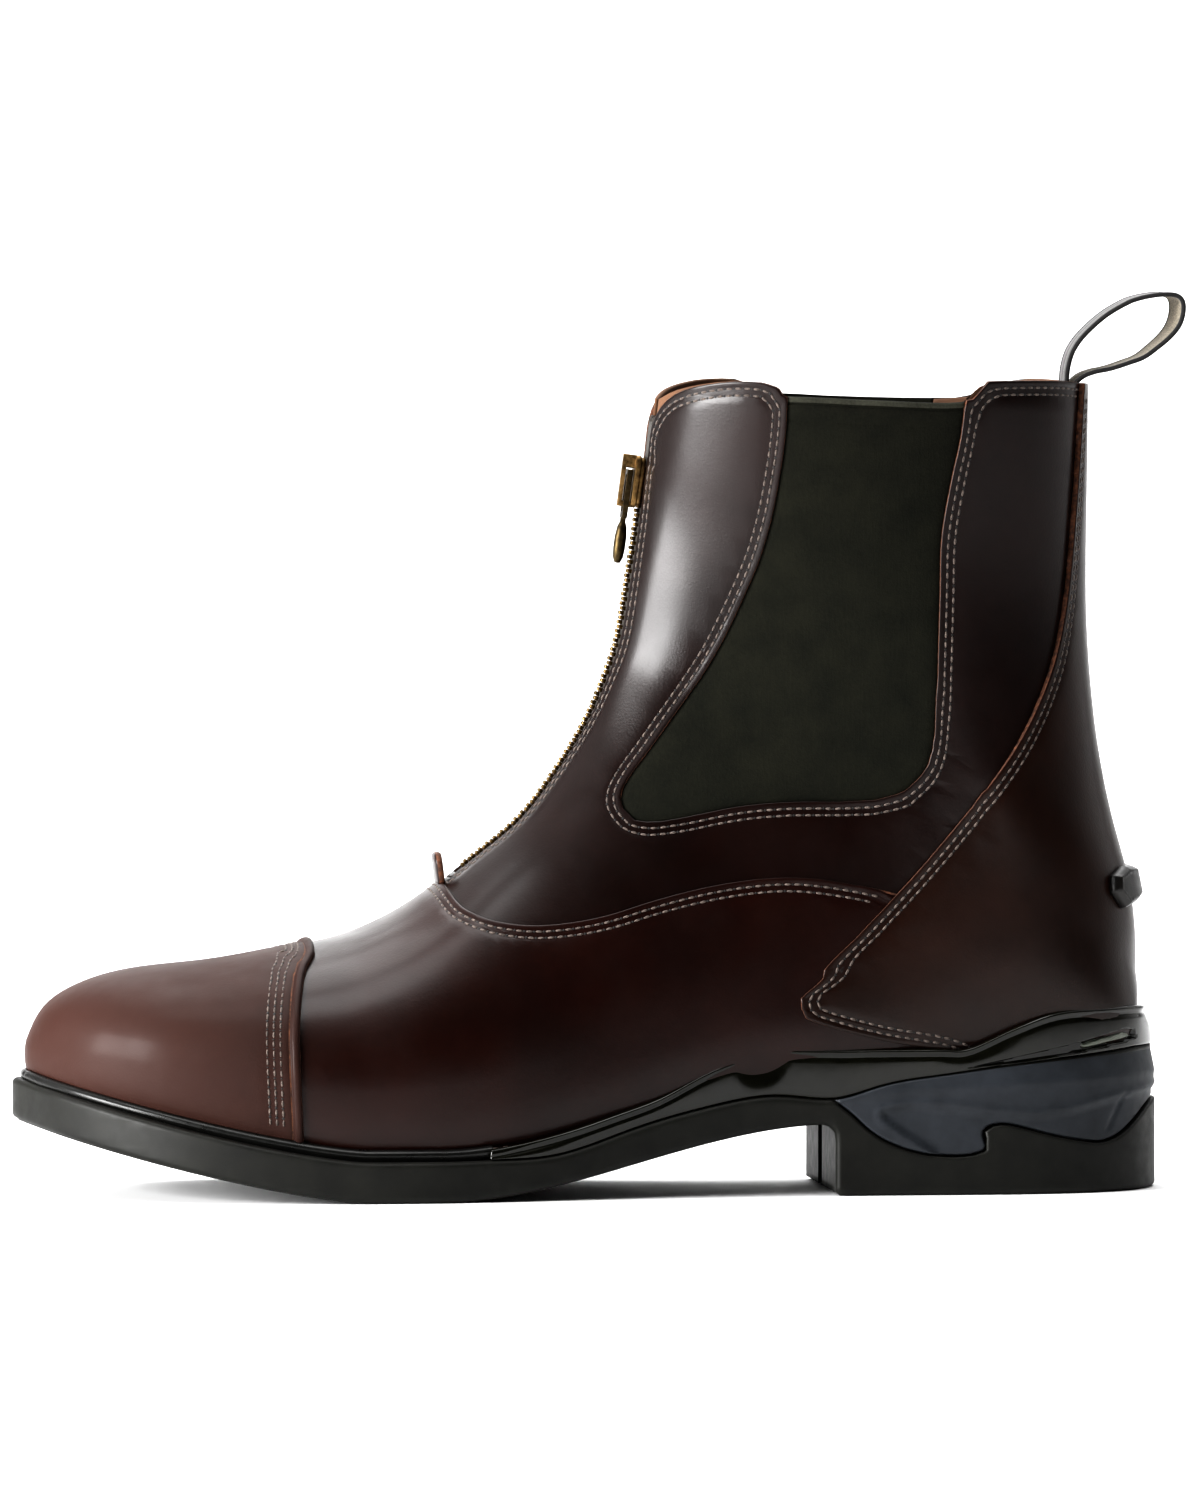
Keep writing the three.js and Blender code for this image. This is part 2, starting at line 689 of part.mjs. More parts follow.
const sole = soleStack(ground).add(heelBlock).subtract(breastGroove);
const cushionOutline = [...curve(CUSHION_EDGE, 2), ...corners([[-0.1, -0.09], [-0.1, 0.1], [0.285, 0.1]])];
const outsole = sole.subtract(prism(grow(cushionOutline, GAP / 2)));
const heelCushion = heelBlock.intersect(prism(grow(cushionOutline, -GAP / 2)));

// Insole, resting on the lasting margin and filling the opening inside it
const insoleTop = (x) => feather(x) + WALL + INSOLE_CLEARANCE + INSOLE_THICKNESS;
const insole = formAt(-WALL - INSOLE_CLEARANCE)
  .intersect(band(BEFORE_TOE, BEHIND_HEEL, () => BASE, insoleTop))
  .add(
    column(bottomInset + GAP).intersect(
      band(BEFORE_TOE, BEHIND_HEEL, feather, (x) => insoleTop(x) - INSOLE_THICKNESS / 2),
    ),
  );

// Zip tape with its chain, in the slot
const chainZone = frontZone(THROAT - CHAIN_START / UPPER_LENGTH, CHAIN_WIDTH / 2);
const zip = shell(-TAPE_RECESS - TAPE_THICKNESS, -TAPE_RECESS)
  .intersect(zipZone(GAP))
  .add(shell(-TAPE_RECESS - TAPE_THICKNESS, CHAIN_HEIGHT).intersect(chainZone))
  .intersect(belowCollar);

// The slider stands on the chain. Its bail holds the pull's crossbar.
const sliderFace = CHAIN_HEIGHT + SLIDER_CLEARANCE;
const bailInside = sliderFace + SLIDER_PLATE;
const bailOutside = bailInside + BAIL_OPENING + BAIL_BAR;
const sliderHalf = SLIDER_HEIGHT / 2;
const bailPlate = (low, high, from) =>
  plate(roundedRect(BAIL_WIDTH / 2, low, high, 0.4), from, bailOutside);
const sliderLocal = plate(roundedRect(SLIDER_WIDTH / 2, -sliderHalf, sliderHalf, 2), sliderFace, bailInside)
  .add(bailPlate(-sliderHalf, sliderHalf, bailOutside - BAIL_BAR))
  .add(bailPlate(sliderHalf - BRIDGE_HEIGHT, sliderHalf, bailInside - GAP))
  .add(bailPlate(-sliderHalf, BAIL_FOOT - sliderHalf, bailInside - GAP));

// The pull hangs from its crossbar: a ring round the bail, a short stem and a rounded drop
const hingeOut = bailInside + BAIL_OPENING / 2;
const hingeUp = sliderHalf - BRIDGE_HEIGHT - PULL_THICKNESS / 2 - SLIDER_CLEARANCE;
const windowHalf = BAIL_WIDTH / 2 + SLIDER_CLEARANCE;
const windowLength = hingeUp + sliderHalf + 1.4;
const ringHalf = windowHalf + PULL_BAR;
const pullHalf = PULL_THICKNESS / 2;
const ringEnd = windowLength + PULL_BAR;
const dropTop = ringEnd + STEM_LENGTH;
const ringShape = roundedRect(ringHalf, -ringEnd, pullHalf, 0.6);
ringShape.holes.push(
  new THREE.Path([
    new THREE.Vector2(-windowHalf, -pullHalf),
    new THREE.Vector2(-windowHalf, -windowLength),
    new THREE.Vector2(windowHalf, -windowLength),
    new THREE.Vector2(windowHalf, -pullHalf),
  ]),
);
const DROP_PROFILE = [
  [0, 0],
  [0.5, 0.02],
  [0.86, 0.14],
  [1, 0.35],
  [1, 0.62],
  [0.8, 0.85],
  [0.45, 0.98],
  [0, 1],
];
const dropGeometry = new THREE.LatheGeometry(
  DROP_PROFILE.map(([out, up]) => new THREE.Vector2(out * DROP_RADIUS, (up - 1) * DROP_LENGTH)),
  14,
)
  .rotateX(Math.PI / 2)
  .translate(0, 0, -dropTop);
const pullLocal = plate(ringShape, -pullHalf, pullHalf)
  .add(plate(roundedRect(PULL_BAR / 2, -dropTop - 1, -ringEnd + PULL_BAR / 2, 0.3), -pullHalf, pullHalf))
  .add(solidOf(dropGeometry))
  .translate(-hingeOut, 0, hingeUp);

// Both are placed on the front line of the shaft
const [zipLow, zipHigh] = [FORM_ROWS[15], FORM_ROWS[17]].map((row) => spot(row.topAlong, row.topRise));
const zipPlace = zipLow.clone().lerp(zipHigh, 0.62);
const zipLean = THREE.MathUtils.radToDeg(Math.atan2(zipHigh.x - zipLow.x, zipHigh.y - zipLow.y));
const onFront = (solid) => solid.rotate(0, zipLean, 0).translate(zipPlace.x, 0, zipPlace.y);

// Spur rest on the back of the counter
const spurRest = shell(cupInner, cupInner + SPUR_REACH).intersect(prism(corners(SPUR_EDGE)));

// Webbing pull loop, from inside the back of the collar up, over and down to the collar's edge
const LOOP_LINE = [
  [0.0595, 0.885],
  [0.0598, 0.935],
  [0.0597, 0.978],
  [0.058, 1.002],
  [0.053, 1.024],
  [0.043, 1.044],
  [0.025, 1.067],
  [0.006, 1.082],
  [-0.012, 1.091],
  [-0.031, 1.095],
  [-0.043, 1.092],
  [-0.0475, 1.079],
  [-0.0455, 1.056],
  [-0.038, 1.037],
  [-0.024, 1.017],
  [-0.008, 1.0],
  [0.016, 0.99],
  [0.038, 0.985],
];
const pullLoop = (() => {
  const line = curve(LOOP_LINE, 1);
  const side = (sign) =>
    line.map((point, i) => {
      const ahead = line[Math.min(i + 1, line.length - 1)];
      const tangent = ahead.clone().sub(line[Math.max(i - 1, 0)]).normalize();
      const away = new THREE.Vector2(-tangent.y, tangent.x);
      return point.clone().addScaledVector(away, (sign * WEBBING_THICKNESS) / 2);
    });
  return prism([...side(1), ...side(-1).reverse()], -WEBBING_WIDTH / 2, WEBBING_WIDTH / 2);
})();

const finish = (color, roughness, metalness = 0) =>
  new THREE.MeshStandardMaterial({ color, roughness, metalness });
const LEATHER = finish(0x2e1a12, 0.35);
const PARTS = [
  ["upper", upper, LEATHER],
  ["toe_cap", toeCap, LEATHER],
  ["counter", counter, LEATHER],
  ["gore_lateral", goreLateral, finish(0x14160f, 0.9)],
  ["gore_medial", goreMedial, finish(0x14160f, 0.9)],
  ["zip", zip, finish(0x6b5630, 0.45, 0.7)],
  ["zip_slider", onFront(sliderLocal), finish(0x7a6238, 0.4, 0.9)],
  ["zip_pull", onFront(pullLocal), finish(0x7a6238, 0.4, 0.9)],
  ["pull_loop", pullLoop, finish(0x9a9a98, 0.85)],
  ["spur_rest", spurRest, finish(0x201510, 0.5)],
  ["insole", insole, finish(0x8a5a34, 0.8)],
  ["welt_bead", weltBead, finish(0x121110, 0.5)],
  ["heel_cup", heelCup, finish(0x0a0b0a, 0.15)],
  ["heel_cushion", heelCushion, finish(0x59616b, 0.6)],
  ["outsole", outsole, finish(0x1c1c1e, 0.75)],
];

const boot = new THREE.Group();
boot.name = "paddock_boot";
PARTS.forEach(([name, solid, material]) => boot.add(meshOf(name, solid, material.clone())));
export default boot;
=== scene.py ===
# Looks of the zip-front paddock boot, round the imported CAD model.
# The tables below are in millimetres and in shares of the named sizes. Objects are made in metres.
import math
from typing import NamedTuple

import bmesh
import bpy
import numpy as np
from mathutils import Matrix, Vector


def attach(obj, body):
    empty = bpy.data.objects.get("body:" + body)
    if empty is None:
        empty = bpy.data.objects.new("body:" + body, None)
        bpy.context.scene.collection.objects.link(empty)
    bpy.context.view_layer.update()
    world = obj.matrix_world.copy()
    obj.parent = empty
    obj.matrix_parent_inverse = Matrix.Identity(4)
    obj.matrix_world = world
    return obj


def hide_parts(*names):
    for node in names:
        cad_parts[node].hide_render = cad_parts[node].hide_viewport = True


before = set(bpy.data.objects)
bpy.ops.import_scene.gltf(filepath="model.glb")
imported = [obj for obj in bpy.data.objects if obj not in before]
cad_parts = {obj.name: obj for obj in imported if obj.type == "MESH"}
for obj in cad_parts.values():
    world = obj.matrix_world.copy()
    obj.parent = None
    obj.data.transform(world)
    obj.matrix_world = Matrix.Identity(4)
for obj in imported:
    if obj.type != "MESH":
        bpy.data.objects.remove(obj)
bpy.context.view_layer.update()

MM = 0.001
TURN = 2 * math.pi

# Sizes of the last and the sole, as in the part
UPPER_LENGTH = 293.0
BALL_WIDTH = 100.0
SHAFT_HEIGHT = 181.0
HEEL_BACK = 37.0
SOLE_THICKNESS = 11.0
TOE_SPRING = 18.0
HEEL_RISE = 22.0
SEAT_SLOPE = 7.0
SHANK_DEPTH = 3.0
WELT_REACH = 5.4
OVERLAY = 1.3
GAP = 0.3
BALL_FRONT = 0.713
BALL_REAR = 0.645
BREAST = 0.283
TREAD_POWER = 1.35

# Heights of the leather's layers over the form
QUARTER_TOP = 0.0
WALL_MIDDLE = -1.2
LINING = -2.4
VAMP_TOP = 0.8
OVERLAY_TOP = 1.6
CAP_BEAD = 0.75
GORE_TOP = -0.5
GORE_BACK = -1.9
SHEET_GAP = 0.02

# Rolled edges of the leather: distances from the cut edge, and how far the surface has dropped at each
ROLL_LEVELS = (0.05, 0.16, 0.34, 0.6)
ROLL_DROPS = (1.0, 0.42, 0.16, 0.04, 0.0)
ROLL_RADIUS = 0.38
LINING_ROLL = (-1.25, -1.9, -2.2, -2.36, -2.4)

# Stitching. Rings of a stitch or hole are (share of its half length, share of its radius)
PITCH = 2.6
STITCH_LENGTH = 1.9
THREAD_RADIUS = 0.34
HOLE_LENGTH = 1.0
HOLE_RADIUS = 0.46
SEAM_1 = 1.9
SEAM_2 = 3.7
SEAM_END = 0.3
CAP_ROWS = (5.1, 6.9, 8.7)
CAP_BEAD_HALF = 1.15
CAP_STRIP = (2.6, 2.95)
STITCH_RINGS = ((-1.0, 0.3), (-0.78, 0.82), (-0.3, 1.0), (0.3, 1.0), (0.78, 0.82), (1.0, 0.3))
HOLE_RINGS = ((-1.0, 0.4), (0.0, 1.0), (1.0, 0.4))

# Zip. The throat is a share of the length, and the slider's place a share of the way between two sections
ZIP_SLOT = 9.0
THROAT = 0.618
TAPE_RECESS = 0.6
TAPE_THICKNESS = 1.3
TOOTH_PITCH = 2.5
TOOTH_WIDTH = 3.0
CHAIN_TOP = 0.5
SLIDER_SHARE = 0.62

# Elastic: depths under its top edge
HEM = 1.4
HEM_SLIT = 1.9
HEM_SEAM = 6.4

# Webbing, and the dome that closes the toe
WEBBING_WIDTH = 13.0
WEBBING_THICKNESS = 1.2
SELVEDGE = 0.75
LOOP_TWIST = 1.8
NOSE_KNOTS = 6.0
NOSE_DEPTH = 0.5

# Sole, cup and heel. The cup's start is a share of the length
SOLE_BACK = HEEL_BACK + WELT_REACH + OVERLAY + GAP
SOLE_LENGTH = UPPER_LENGTH + 2 * (WELT_REACH + OVERLAY) - 1
CUP_START = 0.6
CUP_DEPTH = 2.5
LEDGE_DROP = 0.1
WALL_DEPTH = 4.0
EDGE_ROUND = 1.5
BEAD_HEIGHT = 2.7
BEAD_TOP = 3.9
BEAD_FOOT = 1.7
CORE_INSET = 3.8
TREAD_PITCH = 6.0
TREAD_GROOVE = 1.6
TREAD_DEPTH = 1.2
BREAST_GROOVE = 8.0
BREAST_DEPTH = 4.0
BREAST_OUTER = -36.0
BREAST_INNER = 33.0

# Edge distances at which the meshes are cut, and the steps of their grids
ROW_LEVELS = (1.2, 1.9, 2.8, 3.7, 4.5)
CAP_LEVELS = (0.2, 0.45, 0.8, 1.15, 1.5, 1.8, 2.05, 2.3, 2.6, 2.95)
SNAP = 0.015
STEPS = {
    "quarter": 3.3, "vamp": 2.5, "cap": 1.9, "counter": 2.4, "lining": 4.0, "wall": 2.4, "cushion": 1.0,
    "cup": 1.5, "bead": 1.4, "ledge": 2.5, "tread": 1.6, "breast": 1.5, "gore": 1.6, "tape": 1.4, "spur": 0.8,
}

# Camera and lights, in metres and watts
EYE = (-0.5231, -3.9781, 0.273)
AIM = (-0.105, 0.0, 0.117)
LENS = 360.8
LIGHT_COLUMNS = ("name", "place", "target", "wide", "high", "power")
LIGHTS = (
    ("left", (-1.93, -0.75, 0.62), (-0.08, 0.0, 0.14), 1.2, 0.9, 90.0),
    ("top", (-0.35, -0.3, 2.0), (-0.15, 0.0, 0.0), 1.2, 0.7, 12.0),
    ("floor_light", (0.0, 1.6, 2.6), (0.0, 2.6, 0.0), 2.5, 2.5, 60.0),
    ("backdrop_light", (0.0, 3.8, 2.8), (0.0, 5.4, 0.0), 3.0, 3.0, 120.0),
)
FLOOR_SIZE = 8.0
COVE_START = 4.8
COVE_RADIUS = 1.2
BACKDROP_HEIGHT = 5.0
COVE_STEPS = 16


def smooth(t):
    s = np.clip(t, 0.0, 1.0)
    return s * s * (3 - 2 * s)


def unit(rows):
    """Rows scaled to length 1."""
    return rows / np.linalg.norm(rows, axis=1, keepdims=True)


def right_of(directions):
    """Flat directions turned a quarter to the right."""
    return np.stack([directions[:, 1], -directions[:, 0]], 1)


def near(distance, place, half_width):
    """1 at a place and fading to 0 on both sides of it."""
    return np.exp(-(((distance - place) / half_width) ** 2))


def rounded(distance, radius):
    """How far a rounded edge falls back, at a distance inside it."""
    short = np.clip(radius - distance, 0.0, radius)
    return radius - np.sqrt(radius**2 - short**2)


def x_at(along):
    return HEEL_BACK - along * UPPER_LENGTH


def along_at(x):
    return (HEEL_BACK - x) / UPPER_LENGTH


def toe_lift(along):
    return np.maximum(0.0, (along - BALL_FRONT) / (1 - BALL_FRONT)) ** TREAD_POWER


def waist_lift(along):
    return smooth((BALL_REAR - along) / (BALL_REAR - BREAST))


def seat_lift(along):
    return np.clip((BREAST - along) / BREAST, 0.0, 1.0) ** TREAD_POWER


def feather(x):
    """Height of the upper's bottom edge over the floor."""
    along = along_at(x)
    lifts = TOE_SPRING * toe_lift(along) + HEEL_RISE * waist_lift(along) + SEAT_SLOPE * seat_lift(along)
    return SOLE_THICKNESS + lifts


def ground(x):
    """Height of the outsole's underside in front of the heel."""
    along = along_at(x)
    return TOE_SPRING * toe_lift(along) + (HEEL_RISE - SHANK_DEPTH) * waist_lift(along)


def spot(along, rise):
    """A place in the side view, from a share of the length and a share of the shaft over the feather line."""
    x = x_at(np.asarray(along, float))
    return np.stack([x, feather(x) + np.asarray(rise, float) * SHAFT_HEIGHT], -1)


def natural_spline(knots, values):
    """Natural cubic spline through rows of values at rising knots."""
    knots = np.asarray(knots, float)
    values = np.asarray(values, float)
    step = np.diff(knots)
    slope = np.diff(values, axis=0) / step[:, None]
    matrix = np.eye(len(knots))
    right = np.zeros(values.shape)
    for i in range(1, len(knots) - 1):
        matrix[i, i - 1 : i + 2] = step[i - 1], 2 * (step[i - 1] + step[i]), step[i]
        right[i] = 6 * (slope[i] - slope[i - 1])
    bend = np.linalg.solve(matrix, right)

    def at(knot):
        i = np.clip(np.searchsorted(knots, knot) - 1, 0, len(knots) - 2)
        width = step[i]
        a = ((knots[i + 1] - knot) / width)[:, None]
        b = 1 - a
        curve = ((a**3 - a) * bend[i] + (b**3 - b) * bend[i + 1]) * (width**2 / 6)[:, None]
        return a * values[i] + b * values[i + 1] + curve

    return at


def curve(rows, steps):
    """Smooth curve from the second row to the last but one, with that many steps between two rows."""
    out = []
    for i in range(len(rows) - 3):
        p0, p1, p2, p3 = rows[i : i + 4]
        t = (np.arange(steps) / steps)[:, None]
        v0, v1 = (p2 - p0) / 2, (p3 - p1) / 2
        cubic, square = 2 * p1 - 2 * p2 + v0 + v1, -3 * p1 + 3 * p2 - 2 * v0 - v1
        out.append(cubic * t**3 + square * t**2 + v0 * t + p1)
    return np.concatenate(out)


def through(rows, steps):
    """Smooth curve through all the rows."""
    rows = np.asarray(rows, float)
    padded = np.concatenate([rows[:1], rows, rows[-1:]])
    return np.concatenate([curve(padded, steps), rows[-1:]])


# Sections of the form, as in the part
FORM_COLUMNS = (
    "top_along", "top_rise", "foot_along", "foot_rise", "wide", "mid", "lateral", "medial", "low_square",
    "high_square", "flat",
)
FORM_ROWS = np.array([
    [1.0, 0.062, 1.0, 0.021, 0.5, 0.06, 0.065, 0.065, 2.2, 2.2, 0.1],
    [0.988, 0.106, 0.988, 0.008, 0.42, 0.06, 0.155, 0.155, 2.4, 2.2, 0.2],
    [0.964, 0.147, 0.964, 0.0, 0.38, 0.058, 0.265, 0.25, 2.8, 2.3, 0.3],
    [0.918, 0.192, 0.918, 0.0, 0.36, 0.05, 0.375, 0.345, 3.2, 2.35, 0.35],
    [0.843, 0.236, 0.843, 0.0, 0.34, 0.035, 0.455, 0.43, 3.6, 2.3, 0.4],
    [0.758, 0.288, 0.758, 0.0, 0.32, 0.015, 0.49, 0.475, 4.0, 2.2, 0.4],
    [0.672, 0.345, 0.672, 0.0, 0.3, 0.005, 0.5, 0.465, 4.2, 2.05, 0.4],
    [0.611, 0.415, 0.587, 0.0, 0.27, 0, 0.47, 0.415, 4.4, 2.0, 0.4],
    [0.563, 0.466, 0.468, 0.0, 0.27, 0, 0.42, 0.365, 4.2, 2.05, 0.4],
    [0.526, 0.527, 0.338, 0.0, 0.28, 0, 0.38, 0.335, 3.8, 2.15, 0.4],
    [0.497, 0.592, 0.212, 0.0, 0.28, 0, 0.35, 0.325, 3.4, 2.2, 0.4],
    [0.479, 0.653, 0.099, 0.0, 0.27, 0, 0.335, 0.32, 2.9, 2.2, 0.35],
    [0.469, 0.702, 0.014, 0.01, 0.26, 0, 0.33, 0.32, 2.4, 2.2, 0.15],
    [0.463, 0.755, 0.0, 0.094, 0.27, 0, 0.325, 0.32, 2.2, 2.2, 0],
    [0.458, 0.803, 0.003, 0.2, 0.3, 0, 0.325, 0.32, 2.1, 2.2, 0],
    [0.453, 0.855, 0.02, 0.318, 0.36, 0, 0.325, 0.32, 2.1, 2.15, 0],
    [0.449, 0.903, 0.036, 0.453, 0.42, 0, 0.33, 0.325, 2.1, 2.1, 0],
    [0.445, 0.945, 0.045, 0.626, 0.48, 0, 0.34, 0.335, 2.1, 2.1, 0],
    [0.441, 0.998, 0.045, 0.797, 0.5, 0, 0.36, 0.355, 2.1, 2.1, 0],
    [0.437, 1.05, 0.044, 0.952, 0.5, 0, 0.38, 0.375, 2.1, 2.1, 0],
    [0.435, 1.09, 0.044, 1.02, 0.5, 0, 0.385, 0.38, 2.1, 2.1, 0],
])
form_tops = spot(FORM_ROWS[:, 0], FORM_ROWS[:, 1])
form_feet = spot(FORM_ROWS[:, 2], FORM_ROWS[:, 3])
form_steps = [np.linalg.norm(np.diff(line, axis=0), axis=1) for line in (form_tops, form_feet)]
form_knots = np.concatenate([[0.0], np.cumsum((form_steps[0] + form_steps[1]) / 2)])
form_at = natural_spline(form_knots, FORM_ROWS)
LAST_KNOT = form_knots[-1]


def form_point(knot, angle, lowest=-1.0):
    """Points of the form at knots, at angles round the section: 0 at the foot, half a turn at the top.

    Knots below 0 close the toe with a low dome."""
    row = dict(zip(FORM_COLUMNS, form_at(np.maximum(0.0, knot)).T))
    top = spot(row["top_along"], row["top_rise"])
    foot = spot(row["foot_along"], np.maximum(0.0, row["foot_rise"]))
    flat = np.maximum(0.0, row["flat"])
    quarter = math.pi / 2
    turned = np.arctan2(np.sin(angle), np.cos(angle))
    low = np.abs(turned) < quarter
    bent = np.where(low, np.sign(turned) * quarter * (np.abs(turned) / quarter) ** (1 - flat), turned)
    sine = np.sin(bent)
    power = 2 / np.where(low, row["low_square"], row["high_square"])
    reach = np.abs(np.cos(bent)) ** power
    low_share = np.maximum(lowest, row["wide"] * (1 - (1 + flat) * reach))
    share = np.where(low, low_share, row["wide"] + (1 - row["wide"]) * reach)[:, None]
    half = np.where(sine > 0, row["medial"], -row["lateral"])
    place = foot * (1 - share) + top * share
    across = BALL_WIDTH * (row["mid"] + half * np.abs(sine) ** power)
    points = np.stack([place[:, 0], across, place[:, 1]], -1)
    size = np.clip(1 + knot / NOSE_KNOTS, 0.0, 1.0)[:, None]
    centre = np.stack([top[:, 0], BALL_WIDTH * row["mid"], (top[:, 1] + foot[:, 1]) / 2], -1)
    return centre + (points - centre) * size - (1 - size**2) * np.array([NOSE_DEPTH, 0.0, 0.0])


def form_normal(knot, angle):
    knot_step, angle_step = 0.5, 0.05
    ahead = form_point(np.minimum(LAST_KNOT, knot + knot_step), angle)
    along = ahead - form_point(np.maximum(-NOSE_KNOTS, knot - knot_step), angle)
    across = form_point(knot, angle + angle_step) - form_point(knot, angle - angle_step)
    normal = np.cross(across, along)
    length = np.linalg.norm(normal, axis=1, keepdims=True)
    forwards = np.array([-1.0, 0.0, 0.0])
    return np.where(length > 1e-6, normal / np.maximum(length, 1e-9), forwards)


# Side-view edges of the leather, as rows of [along, rise]
CAP_SEAM = [[0.746, 0.4], [0.748, 0.303], [0.764, 0.254], [0.772, 0.163], [0.769, 0.012], [0.768, -0.06]]
VAMP_EDGE = [
    [0.638, 0.46], [0.632, 0.402], [0.6285, 0.386], [0.621, 0.365], [0.609, 0.351], [0.589, 0.336],
    [0.55, 0.318], [0.497, 0.306], [0.448, 0.305], [0.392, 0.3], [0.316, 0.287], [0.249, 0.266],
    [0.2, 0.24],
]
COUNTER_EDGE = [
    [0.041, 1.08], [0.0495, 0.897], [0.06, 0.709], [0.071, 0.608], [0.086, 0.54], [0.11, 0.47],
    [0.141, 0.405], [0.198, 0.302], [0.249, 0.219], [0.294, 0.149], [0.31, 0.126], [0.316, 0.108],
    [0.313, 0.087], [0.302, 0.073], [0.24, 0.041], [0.175, 0.013], [0.14, -0.03],
]
GORE_EDGE = [
    [0.328, 1.06], [0.328, 0.95], [0.335, 0.857], [0.344, 0.789], [0.358, 0.726], [0.392, 0.623],
    [0.442, 0.532], [0.4645, 0.496], [0.4745, 0.472], [0.4735, 0.452], [0.459, 0.424], [0.423, 0.411],
    [0.37, 0.405], [0.298, 0.395], [0.241, 0.394], [0.22, 0.403], [0.202, 0.429], [0.1945, 0.458],
    [0.191, 0.51], [0.1875, 0.682], [0.186, 0.773], [0.177, 0.858], [0.168, 0.928], [0.161, 1.06],
]
COLLAR_EDGE = [
    [0.4435, 0.95], [0.441, 0.984], [0.432, 1.018], [0.415, 1.032], [0.383, 1.03], [0.348, 1.017],
    [0.336, 1.006], [0.327, 0.991], [0.246, 0.978], [0.164, 0.966], [0.152, 0.99], [0.141, 0.993],
    [0.078, 0.983], [0.03, 0.969], [-0.05, 0.96],
]

INNER_COLLAR_EDGE = COLLAR_EDGE[:9] + [
    [0.164, 0.966], [0.14, 0.964], [0.118, 0.97], [0.1, 0.98], [0.078, 0.983], [0.03, 0.969], [-0.05, 0.96],
]
SPUR_EDGE = [
    [0.024, 0.247], [0.012, 0.258], [-0.02, 0.25], [-0.035, 0.235], [0.0, 0.2], [0.012, 0.196],
    [0.024, 0.222],
]
LOOP_LINE = [
    [0.0595, 0.885], [0.0598, 0.935], [0.0597, 0.978], [0.058, 1.002], [0.053, 1.024], [0.043, 1.044],
    [0.025, 1.067], [0.006, 1.082], [-0.012, 1.091], [-0.031, 1.095], [-0.043, 1.092], [-0.0475, 1.079],
    [-0.0455, 1.056], [-0.038, 1.037], [-0.024, 1.017], [-0.008, 1.0], [0.016, 0.99], [0.034, 0.987],
    [0.046, 0.981], [0.0535, 0.968], [0.0555, 0.945], [0.0555, 0.92],
]


def outline(rows, corners, steps=4):
    """A closed side-view outline from a curve of rows and some corners, in millimetres."""
    line = through(rows, steps)
    if corners:
        line = np.concatenate([line, np.array(corners, float)])
    return spot(line[:, 0], line[:, 1])


COLLAR_CORNERS = [[-0.05, -0.3], [1.1, -0.3], [1.1, 0.95]]
COLLAR = outline(COLLAR_EDGE, COLLAR_CORNERS)
INNER_COLLAR = outline(INNER_COLLAR_EDGE, COLLAR_CORNERS)
SLOT_CORNERS = [[THROAT, 0.2], [THROAT, 0.6], [0.55, 0.8], [0.5, 1.2], [0.3, 1.2], [0.3, 0.2]]
SLOT = spot(*np.array(SLOT_CORNERS).T)
OUTLINES = {
    "cap": outline(CAP_SEAM, [[1.1, -0.06], [1.1, 0.4]]),
    "vamp": outline(VAMP_EDGE, [[0.2, -0.06], [0.8, -0.06], [0.8, 0.46]]),
    "counter": outline(COUNTER_EDGE, [[-0.1, -0.03], [-0.1, 1.08]]),
    "gore": outline(GORE_EDGE, []),
    "spur": spot(*np.array(SPUR_EDGE).T),
}

SIDE_VIEW = [0, 2]
PLAN = [0, 1]


def inside_by(points, normals, edge, axes=SIDE_VIEW):
    """How far points lie inside a flat outline, measured over the surface. Outside is negative."""
    place = points[:, axes]
    along = np.roll(edge, -1, axis=0) - edge
    length = np.maximum((along**2).sum(1), 1e-12)
    best = np.full(len(place), np.inf)
    nearest = np.zeros(place.shape)
    inside = np.zeros(len(place), bool)
    for a, d, size in zip(edge, along, length):
        share = np.clip(((place - a) @ d) / size, 0.0, 1.0)
        foot = a + share[:, None] * d
        distance = ((place - foot) ** 2).sum(1)
        closer = distance < best
        best[closer] = distance[closer]
        nearest[closer] = foot[closer]
        b = a + d
        crosses = (a[1] > place[:, 1]) != (b[1] > place[:, 1])
        rise = d[1] if abs(d[1]) > 1e-12 else 1e-12
        inside ^= crosses & (place[:, 0] < a[0] + (place[:, 1] - a[1]) / rise * d[0])
    distance = np.sqrt(best)
    towards = (place - nearest) / np.maximum(distance, 1e-9)[:, None]
    facing = (towards * normals[:, axes]).sum(1)
    distance = distance / np.sqrt(np.clip(1 - facing**2, 0.12, 1.0))
    return np.where(inside, distance, -distance)


